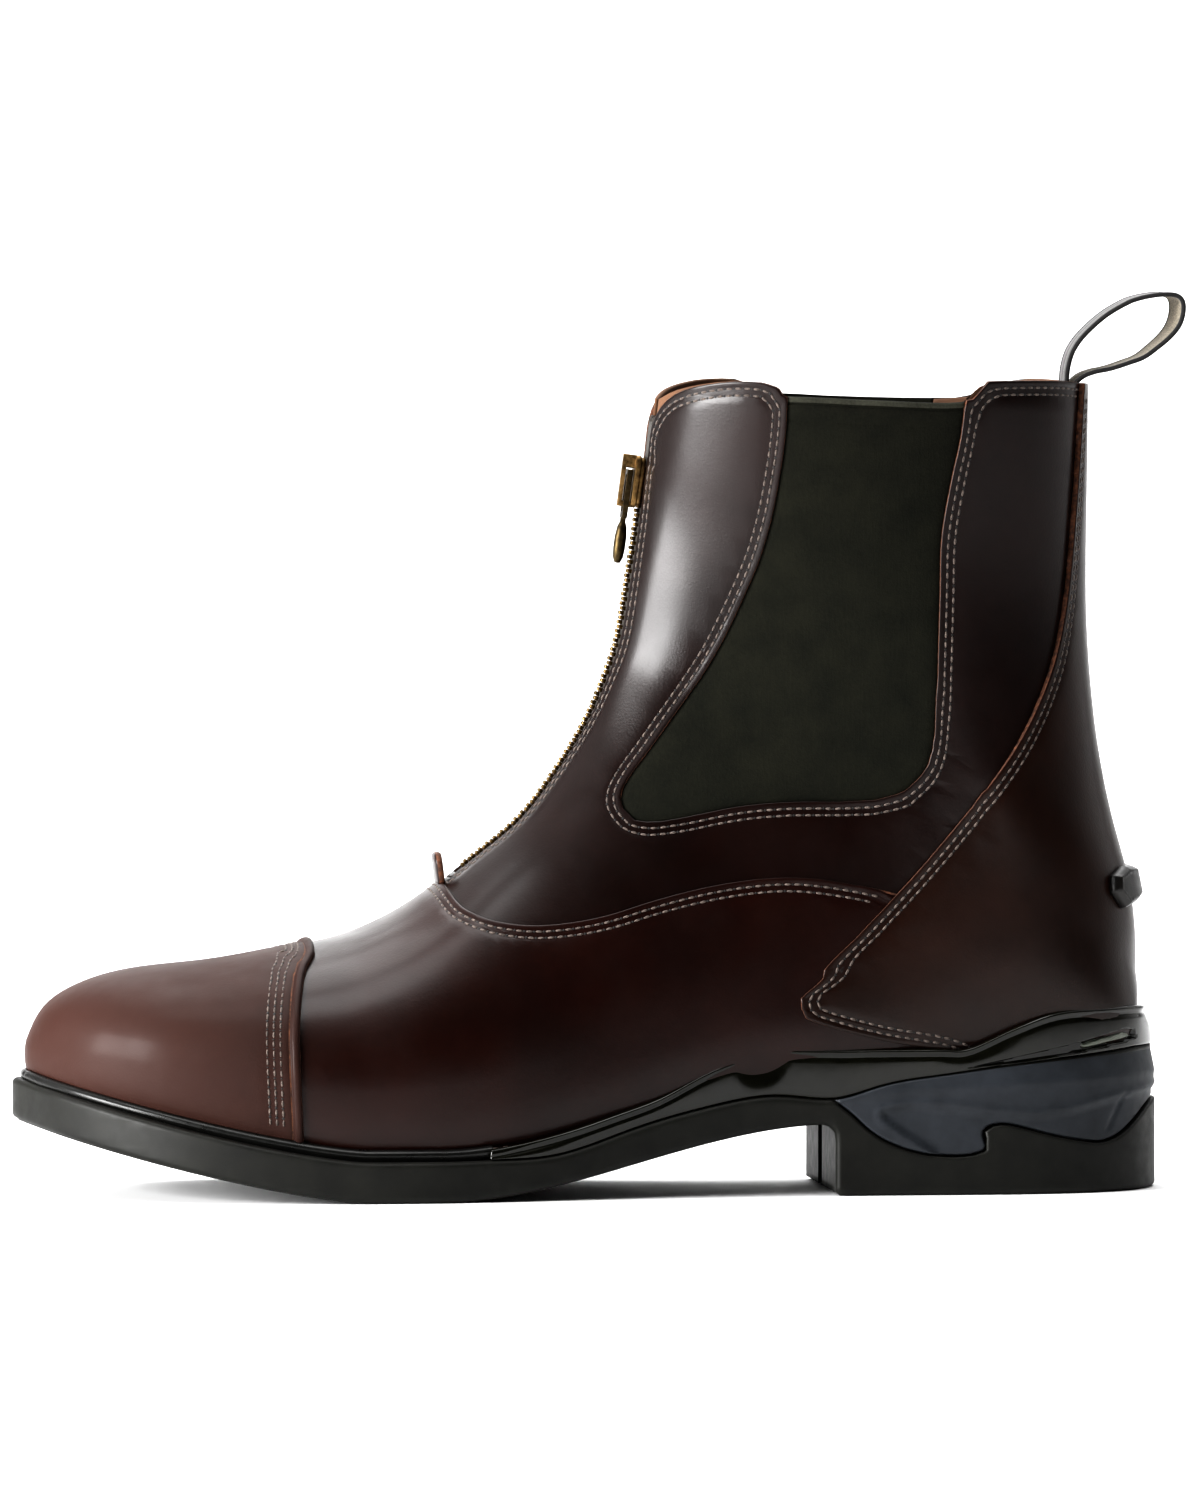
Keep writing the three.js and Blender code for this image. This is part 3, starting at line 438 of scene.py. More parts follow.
def cut(points, faces, column, level):
    """Splits faces along the line where a column of the points has a level."""
    value = points[:, column] - level
    value[np.abs(value) < SNAP] = 0.0
    corner = np.sign(value)[faces]
    crossing = (corner.min(1) < 0) & (corner.max(1) > 0)
    split, corner = faces[crossing], corner[crossing]
    if not len(split):
        return points, faces
    on_line = (corner == 0).any(1)
    lone = -np.sign(corner.sum(1))[:, None]
    first = np.where(on_line, np.argmax(corner == 0, 1), np.argmax(corner == lone, 1))
    split = np.take_along_axis(split, (first[:, None] + np.arange(3)) % 3, 1)
    a, b, c = split[on_line].T
    e, f, g = split[~on_line].T
    pairs = np.sort(np.concatenate([np.stack([b, c], 1), np.stack([e, f], 1), np.stack([e, g], 1)]), 1)
    unique, which = np.unique(pairs, axis=0, return_inverse=True)
    which = which.reshape(-1) + len(points)
    low, high = unique.T
    share = (value[low] / (value[low] - value[high]))[:, None]
    middle = points[low] * (1 - share) + points[high] * share
    m, ef, eg = which[: len(a)], which[len(a) : len(a) + len(e)], which[len(a) + len(e) :]
    added = [(a, b, m), (a, m, c), (e, ef, eg), (ef, f, g), (ef, g, eg)]
    new_faces = np.concatenate([faces[~crossing]] + [np.stack(face, 1) for face in added])
    return np.concatenate([points, middle]), new_faces


def keep_inside(points, faces, column):
    """Cuts at the column's zero line and keeps what lies inside it."""
    points, faces = cut(points, faces, column, 0.0)
    return points, faces[points[:, column][faces].sum(1) > 0]


def compact(points, faces):
    used, turned = np.unique(faces, return_inverse=True)
    return points[used], turned.reshape(faces.shape)


def weld(points, faces):
    """Joins points at the same place and drops faces that vanish. Also says which faces are kept."""
    key = np.round(points[:, :3] * 2000).astype(np.int64)
    _, first, which = np.unique(key, axis=0, return_index=True, return_inverse=True)
    faces = which.reshape(-1)[faces]
    a, b, c = faces.T
    kept = (a != b) & (b != c) & (c != a)
    return points[first], faces[kept], kept


def tube_faces(rings, sides):
    """Faces of a tube of rings, closed at both ends."""
    faces = []
    for ring in range(rings - 1):
        for i in range(sides):
            a, b = ring * sides + i, ring * sides + (i + 1) % sides
            faces += [(a, b, b + sides), (a, b + sides, a + sides)]
    last = (rings - 1) * sides
    for i in range(1, sides - 1):
        faces += [(0, i + 1, i), (last, last + i, last + i + 1)]
    return np.array(faces)


# Meshes and materials
def in_scene(name, data):
    item = bpy.data.objects.new(name, data)
    bpy.context.scene.collection.objects.link(item)
    return item


def dress(piece, body, replaces):
    """Says what a piece rides on and the nodes that it stands in for."""
    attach(piece, body)
    if replaces:
        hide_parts(*replaces)


def make_piece(name, points, faces, materials, slot, replaces=(), which=None):
    """A mesh object from points in millimetres, with its faces turned outwards."""
    corners = points[faces]
    volume = np.sum(corners[:, 0] * np.cross(corners[:, 1], corners[:, 2]))
    if volume < 0:
        faces = faces[:, ::-1]
    mesh = bpy.data.meshes.new(name)
    mesh.from_pydata((points * MM).tolist(), [], faces.tolist())
    for material in materials:
        mesh.materials.append(material)
    if which is not None:
        mesh.polygons.foreach_set("material_index", np.asarray(which, np.int32))
    mesh.polygons.foreach_set("use_smooth", np.ones(len(mesh.polygons), bool))
    mesh.update()
    dress(in_scene(name, mesh), "boot", replaces)


class Nodes:
    """Short names for building the nodes of a material or a world."""

    def __init__(self, owner, coordinates="Object"):
        owner.use_nodes = True
        self.owner = owner
        self.tree = owner.node_tree
        self.place = self.tree.nodes.new("ShaderNodeTexCoord").outputs[coordinates]

    def fill(self, socket, value):
        if isinstance(value, bpy.types.NodeSocket):
            self.tree.links.new(value, socket)
        elif value is not None:
            socket.default_value = value

    def add(self, kind, inputs=(), **settings):
        node = self.tree.nodes.new(kind)
        for key, value in settings.items():
            setattr(node, key, value)
        for key, value in dict(inputs).items():
            self.fill(node.inputs[key], value)
        return node

    def scaled(self, scale):
        return self.add("ShaderNodeMapping", {"Vector": self.place, "Scale": scale}).outputs["Vector"]

    def noise(self, scale, detail=3.0, roughness=0.55, vector=None):
        inputs = {"Vector": vector or self.place, "Scale": scale, "Detail": detail, "Roughness": roughness}
        return self.add("ShaderNodeTexNoise", inputs).outputs["Fac"]

    def cells(self, scale):
        return self.add("ShaderNodeTexVoronoi", {"Vector": self.place, "Scale": scale}).outputs["Distance"]

    def span(self, value, low, high, to_low=0.0, to_high=1.0, **settings):
        inputs = {"Value": value, "From Min": low, "From Max": high, "To Min": to_low, "To Max": to_high}
        return self.add("ShaderNodeMapRange", inputs, **settings).outputs["Result"]

    def math(self, operation, a, b):
        return self.add("ShaderNodeMath", {0: a, 1: b}, operation=operation).outputs[0]

    def mix(self, share, a, b):
        return self.add("ShaderNodeMix", {0: share, 6: a, 7: b}, data_type="RGBA").outputs[2]

    def axis(self, name):
        return self.add("ShaderNodeSeparateXYZ", {"Vector": self.place}).outputs[name]

    def bump(self, height, strength, distance, normal=None):
        inputs = {"Height": height, "Strength": strength, "Distance": distance}
        if normal:
            inputs["Normal"] = normal
        return self.add("ShaderNodeBump", inputs).outputs["Normal"]

    def finish(self, color, roughness, normal=None, **fixed):
        shader = self.tree.nodes["Principled BSDF"]
        for key, value in (("Base Color", color), ("Roughness", roughness), ("Normal", normal)):
            self.fill(shader.inputs[key], value)
        for key, value in fixed.items():
            shader.inputs[key.replace("_", " ")].default_value = value
        return self.owner


def new_material(name):
    return Nodes(bpy.data.materials.new(name))


def rgb(red, green, blue):
    """A colour as a photo shows it, 0 to 255, as Blender's linear colour."""
    linear = [((c / 255 + 0.055) / 1.055) ** 2.4 if c > 10 else c / 255 / 12.92 for c in (red, green, blue)]
    return (*linear, 1.0)


def leather(name, dark, light, gloss=0.3, toe=None, coat=0.26):
    """Smooth finished leather: mottled colour, fine grain, and an even clear coat."""
    n = new_material(name)
    color = n.mix(n.span(n.noise(28.0, 4.0), 0.35, 0.7), dark, light)
    if toe:
        color = n.mix(n.span(n.axis("X"), -0.18, -0.25), color, toe)
    fine = n.math("MULTIPLY", n.noise(2600.0, 2.0), 0.5)
    grain = n.math("MULTIPLY", n.cells(1500.0), 0.7)
    normal = n.bump(n.math("ADD", grain, fine), 0.16, 0.00016)
    normal = n.bump(n.noise(160.0, 3.0), 0.10, 0.0006, normal)
    roughness = n.span(n.noise(60.0, 3.0), 0.3, 0.7, gloss, gloss + 0.12)
    return n.finish(color, roughness, normal, Coat_Weight=coat, Coat_Roughness=0.22, Specular_IOR_Level=0.2)


def mottled(name, dark, light, spread, mottle, fine, strength):
    """A dull surface with a mottled colour and a fine grain, each a noise's (scale, detail)."""
    n = new_material(name)
    color = n.mix(n.span(n.noise(*mottle), 0.5 - spread, 0.5 + spread), dark, light)
    return n.finish(color, 0.8, n.bump(n.noise(*fine), strength, 0.0002))


def thread(name, dark, light):
    """Twisted thread. Also gives the painted shade of the needle holes, as near-black thread."""
    n = new_material(name)
    twist = n.noise(1800.0, 2.0)
    color = n.mix(n.span(twist, 0.35, 0.65), dark, light)
    return n.finish(color, 0.7, n.bump(twist, 0.4, 0.0003), Sheen_Weight=0.2)


def rubber(name, dark, light, roughness, grain=0.12, **fixed):
    n = new_material(name)
    color = n.mix(n.span(n.noise(120.0, 4.0), 0.3, 0.7), dark, light)
    shine = n.span(n.noise(300.0, 3.0), 0.3, 0.7, roughness - 0.04, roughness + 0.06)
    return n.finish(color, shine, n.bump(n.noise(4200.0, 2.0), grain, 0.0002), **fixed)


def elastic(name, dark, light):
    """Felted elastic: matte, with fine fibres over close upright ribs."""
    n = new_material(name)
    fibres = n.noise(1500.0, 4.0, 0.7)
    ribs = n.noise(1.0, 2.0, 0.5, n.scaled((1400.0, 1400.0, 160.0)))
    color = n.mix(n.span(n.math("ADD", fibres, n.noise(90.0, 3.0)), 0.7, 1.3), dark, light)
    height = n.math("ADD", fibres, n.math("MULTIPLY", ribs, 0.6))
    return n.finish(color, 0.95, n.bump(height, 0.45, 0.0003), Specular_IOR_Level=0.2)


def woven(name, dark, light, scale=(900.0, 900.0, 1980.0), roughness=0.85, strength=0.5, sheen=0.1):
    n = new_material(name)
    weave = n.noise(1.0, 2.0, 0.5, n.scaled(scale))
    color = n.mix(n.span(weave, 0.35, 0.65), dark, light)
    return n.finish(color, roughness, n.bump(weave, strength, 0.0003), Sheen_Weight=sheen)


def striped_webbing(name):
    n = new_material(name)
    stripes = n.span(n.math("SINE", n.math("MULTIPLY", n.axis("Y"), 1400.0), 0.0), -0.6, 0.6)
    weave = n.noise(1.0, 2.0, 0.5, n.scaled((2600.0, 900.0, 2600.0)))
    light = n.mix(n.span(weave, 0.35, 0.65), rgb(84, 82, 82), rgb(112, 110, 110))
    color = n.mix(n.math("MULTIPLY", stripes, 0.7), light, rgb(40, 38, 38))
    return n.finish(color, 0.85, n.bump(n.math("ADD", weave, stripes), 0.4, 0.0003), Sheen_Weight=0.15)


def metal(name, dark, light, roughness):
    """Antiqued brass: darker where it is dull, with fine brushing."""
    n = new_material(name)
    patina = n.span(n.noise(420.0, 4.0), 0.35, 0.68)
    brushed = n.noise(1.0, 2.0, 0.5, n.scaled((4000.0, 4000.0, 500.0)))
    shine = n.span(patina, 0.0, 1.0, roughness, roughness + 0.18)
    return n.finish(n.mix(patina, light, dark), shine, n.bump(brushed, 0.12, 0.0001), Metallic=1.0)


QUARTER = leather("leather_quarter", rgb(17, 6, 4), rgb(25, 10, 7))
VAMP = leather("leather_vamp", rgb(24, 8, 5), rgb(34, 13, 8), toe=rgb(46, 21, 14))
TOE_CAP = leather("leather_toe_cap", rgb(36, 19, 14), rgb(50, 27, 20), 0.54, rgb(56, 32, 25), 0.06)
COUNTER = leather("leather_counter", rgb(24, 10, 5), rgb(36, 18, 11))
RAW_EDGE = mottled("raw_edge", rgb(58, 34, 22), rgb(98, 60, 38), 0.15, (900.0, 3.0), (3000.0, 2.0), 0.3)
LINING_LEATHER = mottled("lining", rgb(74, 50, 34), rgb(108, 76, 52), 0.2, (40.0, 4.0), (2200.0, 3.0), 0.25)
INSOLE = mottled("insole", rgb(120, 80, 50), rgb(150, 105, 70), 0.2, (300.0, 3.0), (2400.0, 2.0), 0.2)
THREAD = thread("thread", rgb(54, 45, 40), rgb(100, 88, 80))
# Near-black needle holes: painted shade, standing in for the shadow inside each hole.
HOLE_SHADE = thread("needle_hole_shade", rgb(8, 5, 4), rgb(14, 9, 7))
RUBBER = rubber("outsole_rubber", rgb(17, 17, 14), rgb(25, 25, 21), 0.5, Specular_IOR_Level=0.3)
SPUR_RUBBER = rubber("spur_rubber", rgb(16, 14, 12), rgb(26, 23, 20), 0.35)
BEAD_BLACK = rubber("bead_rubber", rgb(13, 13, 12), rgb(20, 20, 18), 0.3, Specular_IOR_Level=0.4)
GLOSSY = rubber(
    "cup_gloss", rgb(12, 12, 7), rgb(18, 18, 11), 0.14, 0.03,
    Coat_Weight=0.3, Coat_Roughness=0.06, Specular_IOR_Level=0.35,
)
# The insert in the cup's wedge is raised and pale grey-olive; its light colour is a painted highlight.
CHIP_PAINTED_HIGHLIGHT = rubber("cup_insert_painted_highlight", rgb(84, 88, 80), rgb(104, 108, 98), 0.2, 0.03)
CUSHION_GREY = rubber("cushion_grey", rgb(38, 41, 45), rgb(49, 52, 57), 0.5, 0.1, Specular_IOR_Level=0.35)
ELASTIC = elastic("gore_elastic", rgb(15, 16, 10), rgb(28, 28, 20))
ELASTIC_HEM = elastic("gore_hem", rgb(44, 44, 38), rgb(66, 66, 57))
BRASS = metal("slider_brass", rgb(74, 60, 40), rgb(150, 122, 82), 0.32)
ANTIQUE = metal("pull_brass", rgb(46, 40, 29), rgb(86, 74, 52), 0.34)
TEETH = metal("zip_teeth", rgb(74, 62, 42), rgb(126, 106, 72), 0.36)
TAPE = woven("zip_tape", rgb(30, 24, 18), rgb(46, 38, 29))
WEBBING = striped_webbing("webbing")
WEBBING_BACK = woven(
    "webbing_back", rgb(104, 96, 84), rgb(142, 134, 118), (2400.0, 1200.0, 2400.0), 0.9, 0.45, 0.15,
)
WEBBING_EDGE = woven("webbing_edge", rgb(14, 13, 13), rgb(26, 24, 24))


# Panels: pieces of a surface, cut out of a grid by named distances
def grid(rows, columns):
    """A flat grid of points over two rising lists of numbers, as triangles."""
    u, v = np.meshgrid(rows, columns, indexing="ij")
    i = np.arange(len(rows) - 1)[:, None] * len(columns) + np.arange(len(columns) - 1)[None, :]
    i = i.ravel()
    up = i + len(columns)
    faces = np.concatenate([np.stack([i, i + 1, up + 1], 1), np.stack([i, up + 1, up], 1)])
    return np.stack([u.ravel(), v.ravel()], 1), faces


def evenly(start, end, step):
    return np.linspace(start, end, max(2, int(round(abs(end - start) / step))) + 1)


class FormSkin:
    """The form, over [knot, angle]."""

    def grid(self, step):
        return grid(evenly(-NOSE_KNOTS, LAST_KNOT, step), evenly(0.0, TURN, step * TURN / 250.0))

    def base(self, points):
        return form_point(points[:, 0], points[:, 1], 0.0)

    def normal(self, points):
        return form_normal(points[:, 0], points[:, 1])


FORM = FormSkin()



def inside_region(edge, axes=SIDE_VIEW):
    return lambda places, normals: inside_by(places, normals, edge, axes)


def inside_collar(places, normals):
    outer, inner = inside_by(places, normals, COLLAR), inside_by(places, normals, INNER_COLLAR)
    return np.where(places[:, 1] > 0, inner, outer)


# Named distances over a surface from its places and normals, positive inside each region
REGIONS = {name: inside_region(edge) for name, edge in OUTLINES.items()}
REGIONS.update({
    "collar": inside_collar,
    "outer_side": lambda p, n: -p[:, 1],
    "inner_side": lambda p, n: p[:, 1],
    "slot": lambda p, n: np.minimum(ZIP_SLOT / 2 - np.abs(p[:, 1]), inside_by(p, n, SLOT)),
    "feather": lambda p, n: p[:, 2] - feather(p[:, 0]) - SHEET_GAP,
})
EDGE_COLUMN = 2


class Panel(NamedTuple):
    """A piece of a surface. Its points are [two places on the surface, edge distance, named distances]."""

    points: np.ndarray
    faces: np.ndarray
    columns: dict
    surface: object

    def distance(self, name):
        return self.points[:, self.columns[name]]

    def split(self, name, levels):
        """The panel with its faces cut along levels of a named distance."""
        points, faces = self.points, self.faces
        for level in levels:
            points, faces = cut(points, faces, self.columns[name], level)
        return self._replace(points=points, faces=faces)


def panel(step, top, limits, levels, shown=(), surface=FORM):
    """A panel inside all its limits, which are (name, sign, allowance): sign * distance + allowance > 0.

    Its faces are cut along the levels of its edge distance."""
    points, faces = surface.grid(step)
    names = list(dict.fromkeys([name for name, _, _ in limits] + list(shown)))
    normals = surface.normal(points)
    places = surface.base(points) + normals * top
    named = np.stack([REGIONS[name](places, normals) for name in names], 1)
    edges = [sign * named[:, names.index(name)] + more for name, sign, more in limits]
    edges = edges or [np.full(len(points), 99.0)]
    points = np.concatenate([points, named, np.stack(edges, 1)], 1)
    first = 2 + len(names)
    for column in range(first, first + len(edges)):
        points, faces = keep_inside(points, faces, column)
    points, faces = compact(points, faces)
    edge = points[:, first:].min(1, keepdims=True)
    points = np.concatenate([points[:, :2], edge, points[:, 2:first]], 1)
    for level in levels:
        points, faces = cut(points, faces, EDGE_COLUMN, level)
    return Panel(points, faces, {name: EDGE_COLUMN + 1 + i for i, name in enumerate(names)}, surface)


def rolled(edge, low, high):
    """Height of a layer near its cut edge: up the wall, then round to the top."""
    drops = np.interp(edge, (0.0,) + ROLL_LEVELS, (0.0,) + ROLL_DROPS[1:])
    share = np.clip(edge / ROLL_LEVELS[0], 0.0, 1.0)
    wall = low + (high - ROLL_RADIUS * ROLL_DROPS[1] - low) * share
    return np.where(edge < ROLL_LEVELS[0], wall, high - ROLL_RADIUS * drops)


def channel(distance, level, depth=0.2, half=0.7):
    """The dent that a row of stitches pulls into the leather."""
    return -depth * near(distance, level, half)


def stitched_height(column, low, high):
    """Height of a layer of leather with two rows of stitches along a column's levels."""

    def height(points):
        layer = rolled(points[:, EDGE_COLUMN], low, high)
        return layer + channel(points[:, column], SEAM_1) + channel(points[:, column], SEAM_2)

    return height


def closed(top_points, under_points, faces, which):
    """One closed shell from a top sheet and its underside, joined round their edges."""
    count = len(top_points)
    points = np.concatenate([top_points, under_points])
    edges = np.concatenate([faces[:, [0, 1]], faces[:, [1, 2]], faces[:, [2, 0]]])
    _, first, uses = np.unique(np.sort(edges, 1), axis=0, return_index=True, return_counts=True)
    a, b = edges[first[uses == 1]].T
    rim = np.concatenate([np.stack([b, a, a + count], 1), np.stack([b, a + count, b + count], 1)])
    both = np.concatenate([faces, faces[:, ::-1] + count, rim])
    which = np.concatenate([which, np.zeros(len(faces) + len(rim), int)])
    points, both, kept = weld(points, both)
    return points, both, which[kept]


def skin(points, height, surface=FORM):
    return surface.base(points) + surface.normal(points) * np.broadcast_to(height, len(points))[:, None]


def shell_piece(name, made, low, height, materials, slot, replaces, which=None):
    """A closed piece from a panel, between two heights over its surface."""
    top = skin(made.points, height, made.surface)
    under = skin(made.points, low, made.surface)
    if which is None:
        raw = made.points[:, EDGE_COLUMN][made.faces].mean(1) < ROLL_LEVELS[0]
        which = raw.astype(int) * (len(materials) > 1)
    placed, both, which = closed(top, under, made.faces, which)
    make_piece(name, placed, both, materials, slot, replaces, which)


# Lines of stitches
def contour(points, faces, column, level):
    """The lines where a column has a level, as lists of point numbers."""
    on = np.abs(points[:, column] - level) < SNAP
    edges = np.concatenate([faces[:, [0, 1]], faces[:, [1, 2]], faces[:, [2, 0]]])
    edges = np.unique(np.sort(edges[on[edges].all(1)], 1), axis=0)
    linked = {}
    for a, b in edges.tolist():
        linked.setdefault(a, []).append(b)
        linked.setdefault(b, []).append(a)
    lines = []
    while linked:
        start = next((p for p, others in linked.items() if len(others) == 1), next(iter(linked)))
        line = [start]
        while linked.get(line[-1]):
            here = line[-1]
            there = linked[here].pop()
            linked[there].remove(here)
            if not linked[here]:
                del linked[here]
            line.append(there)
        if not linked.get(line[-1], True):
            del linked[line[-1]]
        lines.append(line)
    return lines


def spaced(line, pitch, phase=0.5):
    """Places along a polyline, evenly spaced."""
    length = np.concatenate([[0.0], np.cumsum(np.linalg.norm(np.diff(line[:, :3], axis=0), axis=1))])
    count = int(length[-1] / pitch)
    if count < 1:
        return np.zeros((0, line.shape[1]))
    at = (np.arange(count) + phase) * length[-1] / count
    return np.stack([np.interp(at, length, line[:, i]) for i in range(line.shape[1])], 1)


class Capsules:
    """Gathers small tapered capsules whose ends dip into the leather."""

    SIDES = 6

    def __init__(self, rings, length, radius, flat=1.0):
        self.rings, self.length, self.radius, self.flat = rings, length, radius, flat
        self.parts = []

    def add(self, centres, tangents, normals):
        across = np.cross(normals, tangents)
        rings = []
        for along, wide in self.rings:
            dip = 0.67 * self.radius * self.flat * along**4
            middle = centres + tangents * (along * self.length / 2) - normals * dip
            for turn in np.arange(self.SIDES) / self.SIDES * TURN:
                out = self.radius * wide
                rise = out * self.flat * math.sin(turn)
                rings.append(middle + across * (out * math.cos(turn)) + normals * rise)
        faces = tube_faces(len(self.rings), self.SIDES)
        self.parts += [(points, faces) for points in np.stack(rings, 1)]

    def piece(self, name, material):
        make_piece(name, *gather(self.parts), [material], "leather")


def gather(parts):
    """Joins (points, faces) pairs into one mesh."""
    starts = np.cumsum([0] + [len(points) for points, _ in parts])
    faces = [faces + start for (_, faces), start in zip(parts, starts)]
    return np.concatenate([points for points, _ in parts]), np.concatenate(faces)


class Seams:
    """Rows of stitches, with a needle hole between two of them; the holes are near-black, painted shade."""

    def __init__(self):
        self.stitches = Capsules(STITCH_RINGS, STITCH_LENGTH, THREAD_RADIUS)
        self.holes = Capsules(HOLE_RINGS, HOLE_LENGTH, HOLE_RADIUS, 0.4)

    def row(self, made, column, level, height, limits):
        """A row of stitches along a column's level, where limits of (name, sign, least) all hold."""
        points, faces = cut(made.points, made.faces, column, level)
        for name, sign, least in limits:
            faces = faces[(sign * points[:, made.columns[name]] > least)[faces].all(1)]
        for line in contour(points, faces, column, level):
            rows = points[line]
            placed = skin(rows, height(rows), made.surface)
            ends = spaced(np.concatenate([placed, rows[:, :2]], 1), PITCH, 0.0)
            if len(line) < 4 or len(ends) < 3:
                continue
            centres = (ends[:-1] + ends[1:]) / 2
            tangents = unit(np.diff(ends[:, :3], axis=0))
            normals = made.surface.normal(centres[:, 3:5])
            normals = unit(normals - tangents * (normals * tangents).sum(1, keepdims=True))
            self.stitches.add(centres[:, :3], tangents, normals)
            self.holes.add(ends[:-1, :3], tangents, normals)


# The quarters: front of the shaft, round the gores, and down under the vamp and counter
quarter = panel(
    STEPS["quarter"], QUARTER_TOP,
    [("collar", 1, 0.0), ("gore", -1, 0.0), ("slot", -1, 0.0), ("vamp", -1, 8.0), ("counter", -1, 6.0)],
    ROLL_LEVELS + ROW_LEVELS,
)
quarter_height = stitched_height(EDGE_COLUMN, WALL_MIDDLE, QUARTER_TOP)
shell_piece(
    "quarters", quarter, WALL_MIDDLE, quarter_height(quarter.points), [QUARTER, RAW_EDGE], "leather",
    ["upper"],
)

vamp = panel(
    STEPS["vamp"], VAMP_TOP, [("vamp", 1, 0.0), ("cap", -1, 4.0), ("counter", -1, 4.0), ("feather", 1, 0.0)],
    ROLL_LEVELS + ROW_LEVELS,
)
vamp_height = stitched_height(vamp.columns["vamp"], SHEET_GAP, VAMP_TOP)
shell_piece("vamp", vamp, SHEET_GAP, vamp_height(vamp.points), [VAMP, RAW_EDGE], "leather", ["upper"])

toe_cap = panel(
    STEPS["cap"], OVERLAY_TOP, [("cap", 1, 0.0), ("feather", 1, 0.0)], ROLL_LEVELS + CAP_LEVELS,
)


def cap_height(points):
    """The cap has a bead along its rear edge, and a groove with a raw strip behind it."""
    seam = points[:, toe_cap.columns["cap"]]
    height = rolled(points[:, EDGE_COLUMN], VAMP_TOP + SHEET_GAP, OVERLAY_TOP)
    bead = np.sqrt(np.clip(1 - ((seam - CAP_BEAD_HALF) / CAP_BEAD_HALF) ** 2, 0.0, 1.0))
    height = height + CAP_BEAD * bead - 0.25 * near(seam, CAP_STRIP[0], 0.35)
    for level in CAP_ROWS:
        height = height + channel(seam, level)
    return height


cap_seam = toe_cap.distance("cap")[toe_cap.faces].mean(1)
cap_raw = (cap_seam < ROLL_LEVELS[0]) | ((cap_seam > CAP_STRIP[0]) & (cap_seam < CAP_STRIP[1]))
shell_piece(
    "toe_cap_leather", toe_cap, VAMP_TOP + SHEET_GAP, cap_height(toe_cap.points), [TOE_CAP, RAW_EDGE],
    "leather", ["toe_cap"], cap_raw.astype(int),
)

counter = panel(
    STEPS["counter"], OVERLAY_TOP, [("counter", 1, 0.0), ("collar", 1, 0.0), ("feather", 1, 0.0)],
    ROLL_LEVELS + ROW_LEVELS,
)
counter_height = stitched_height(counter.columns["counter"], SHEET_GAP, OVERLAY_TOP)
shell_piece(
    "counter_leather", counter, SHEET_GAP, counter_height(counter.points), [COUNTER, RAW_EDGE], "leather",
    ["counter"],
)

lining = panel(
    STEPS["lining"], LINING, [("collar", 1, 0.0), ("gore", -1, 0.0), ("slot", -1, 0.0), ("feather", 1, 0.0)],
    ROLL_LEVELS,
)
lining_height = np.interp(lining.points[:, EDGE_COLUMN], (0.0,) + ROLL_LEVELS, LINING_ROLL)
shell_piece("lining", lining, lining_height, WALL_MIDDLE - 0.05, [LINING_LEATHER], "leather", ["upper"])

# Seams
seams = Seams()
for level in (SEAM_1, SEAM_2):
    seams.row(
        quarter, EDGE_COLUMN, level, quarter_height, [("counter", -1, SEAM_END), ("vamp", -1, SEAM_END)],
    )
    seams.row(
        vamp, vamp.columns["vamp"], level, vamp_height, [("counter", -1, SEAM_END), ("cap", -1, SEAM_END)],
    )
    seams.row(counter, counter.columns["counter"], level, counter_height, [("collar", 1, 1.0)])
for level in CAP_ROWS:
    seams.row(toe_cap, toe_cap.columns["cap"], level, cap_height, [("feather", 1, 3.0)])
seams.stitches.piece("seam_stitches", THREAD)
# The needle holes are painted shade: near-black capsules where the holes' shadow falls.
seams.holes.piece("needle_holes", HOLE_SHADE)


# Outer edge of the sole seen from above, as in the part: [share of the length, outer side, inner side]
OUTLINE_ROWS = np.array([
    [1.0, -0.06, 0.06], [0.986, 0.08, 0.195], [0.963, 0.22, 0.305], [0.924, 0.35, 0.395],
    [0.871, 0.45, 0.462], [0.806, 0.513, 0.51], [0.733, 0.545, 0.53], [0.661, 0.55, 0.505],
    [0.586, 0.515, 0.44], [0.504, 0.455, 0.375], [0.422, 0.405, 0.34], [0.34, 0.375, 0.333],
    [0.258, 0.362, 0.337], [0.176, 0.36, 0.342], [0.104, 0.34, 0.33], [0.052, 0.275, 0.272],
    [0.018, 0.172, 0.172], [0, 0, 0],
])
CUP_DROP_ROWS = np.array([
    [-0.1, 0.01], [0.063, 0.009], [0.128, 0.01], [0.188, 0.0155], [0.243, 0.025], [0.284, 0.04],
    [0.334, 0.028], [0.394, 0.02], [0.469, 0.016], [0.54, 0.018], [0.6, 0.004], [0.66, 0], [1.1, 0],
])
CUP_EDGE_ROWS = [
    [0.6, 0.012], [0.535, 0.012], [0.488, 0.014], [0.443, 0.017], [0.394, 0.034], [0.341, 0.04],
    [0.302, 0.034], [0.245, 0.03], [0.19, 0.024], [0.161, 0.021], [0.12, 0.044], [0.079, 0.06],
    [0.03, 0.056], [-0.05, 0.045],
]
CUSHION_EDGE = [
    [0.285, -0.042], [0.269, -0.063], [0.253, -0.088], [0.234, -0.109], [0.206, -0.127], [0.174, -0.136],
    [0.153, -0.135], [0.145, -0.128], [0.1475, -0.114], [0.1475, -0.102], [0.139, -0.096], [0.123, -0.098],
    [0.081, -0.122], [0.05, -0.136], [0.034, -0.14], [0.018, -0.134], [0.002, -0.118], [-0.012, -0.099],
    [-0.025, -0.086],
]
CUSHION = outline(CUSHION_EDGE, [[-0.1, -0.09], [-0.1, 0.1], [0.285, 0.1]])
BREAST_X = x_at(BREAST)

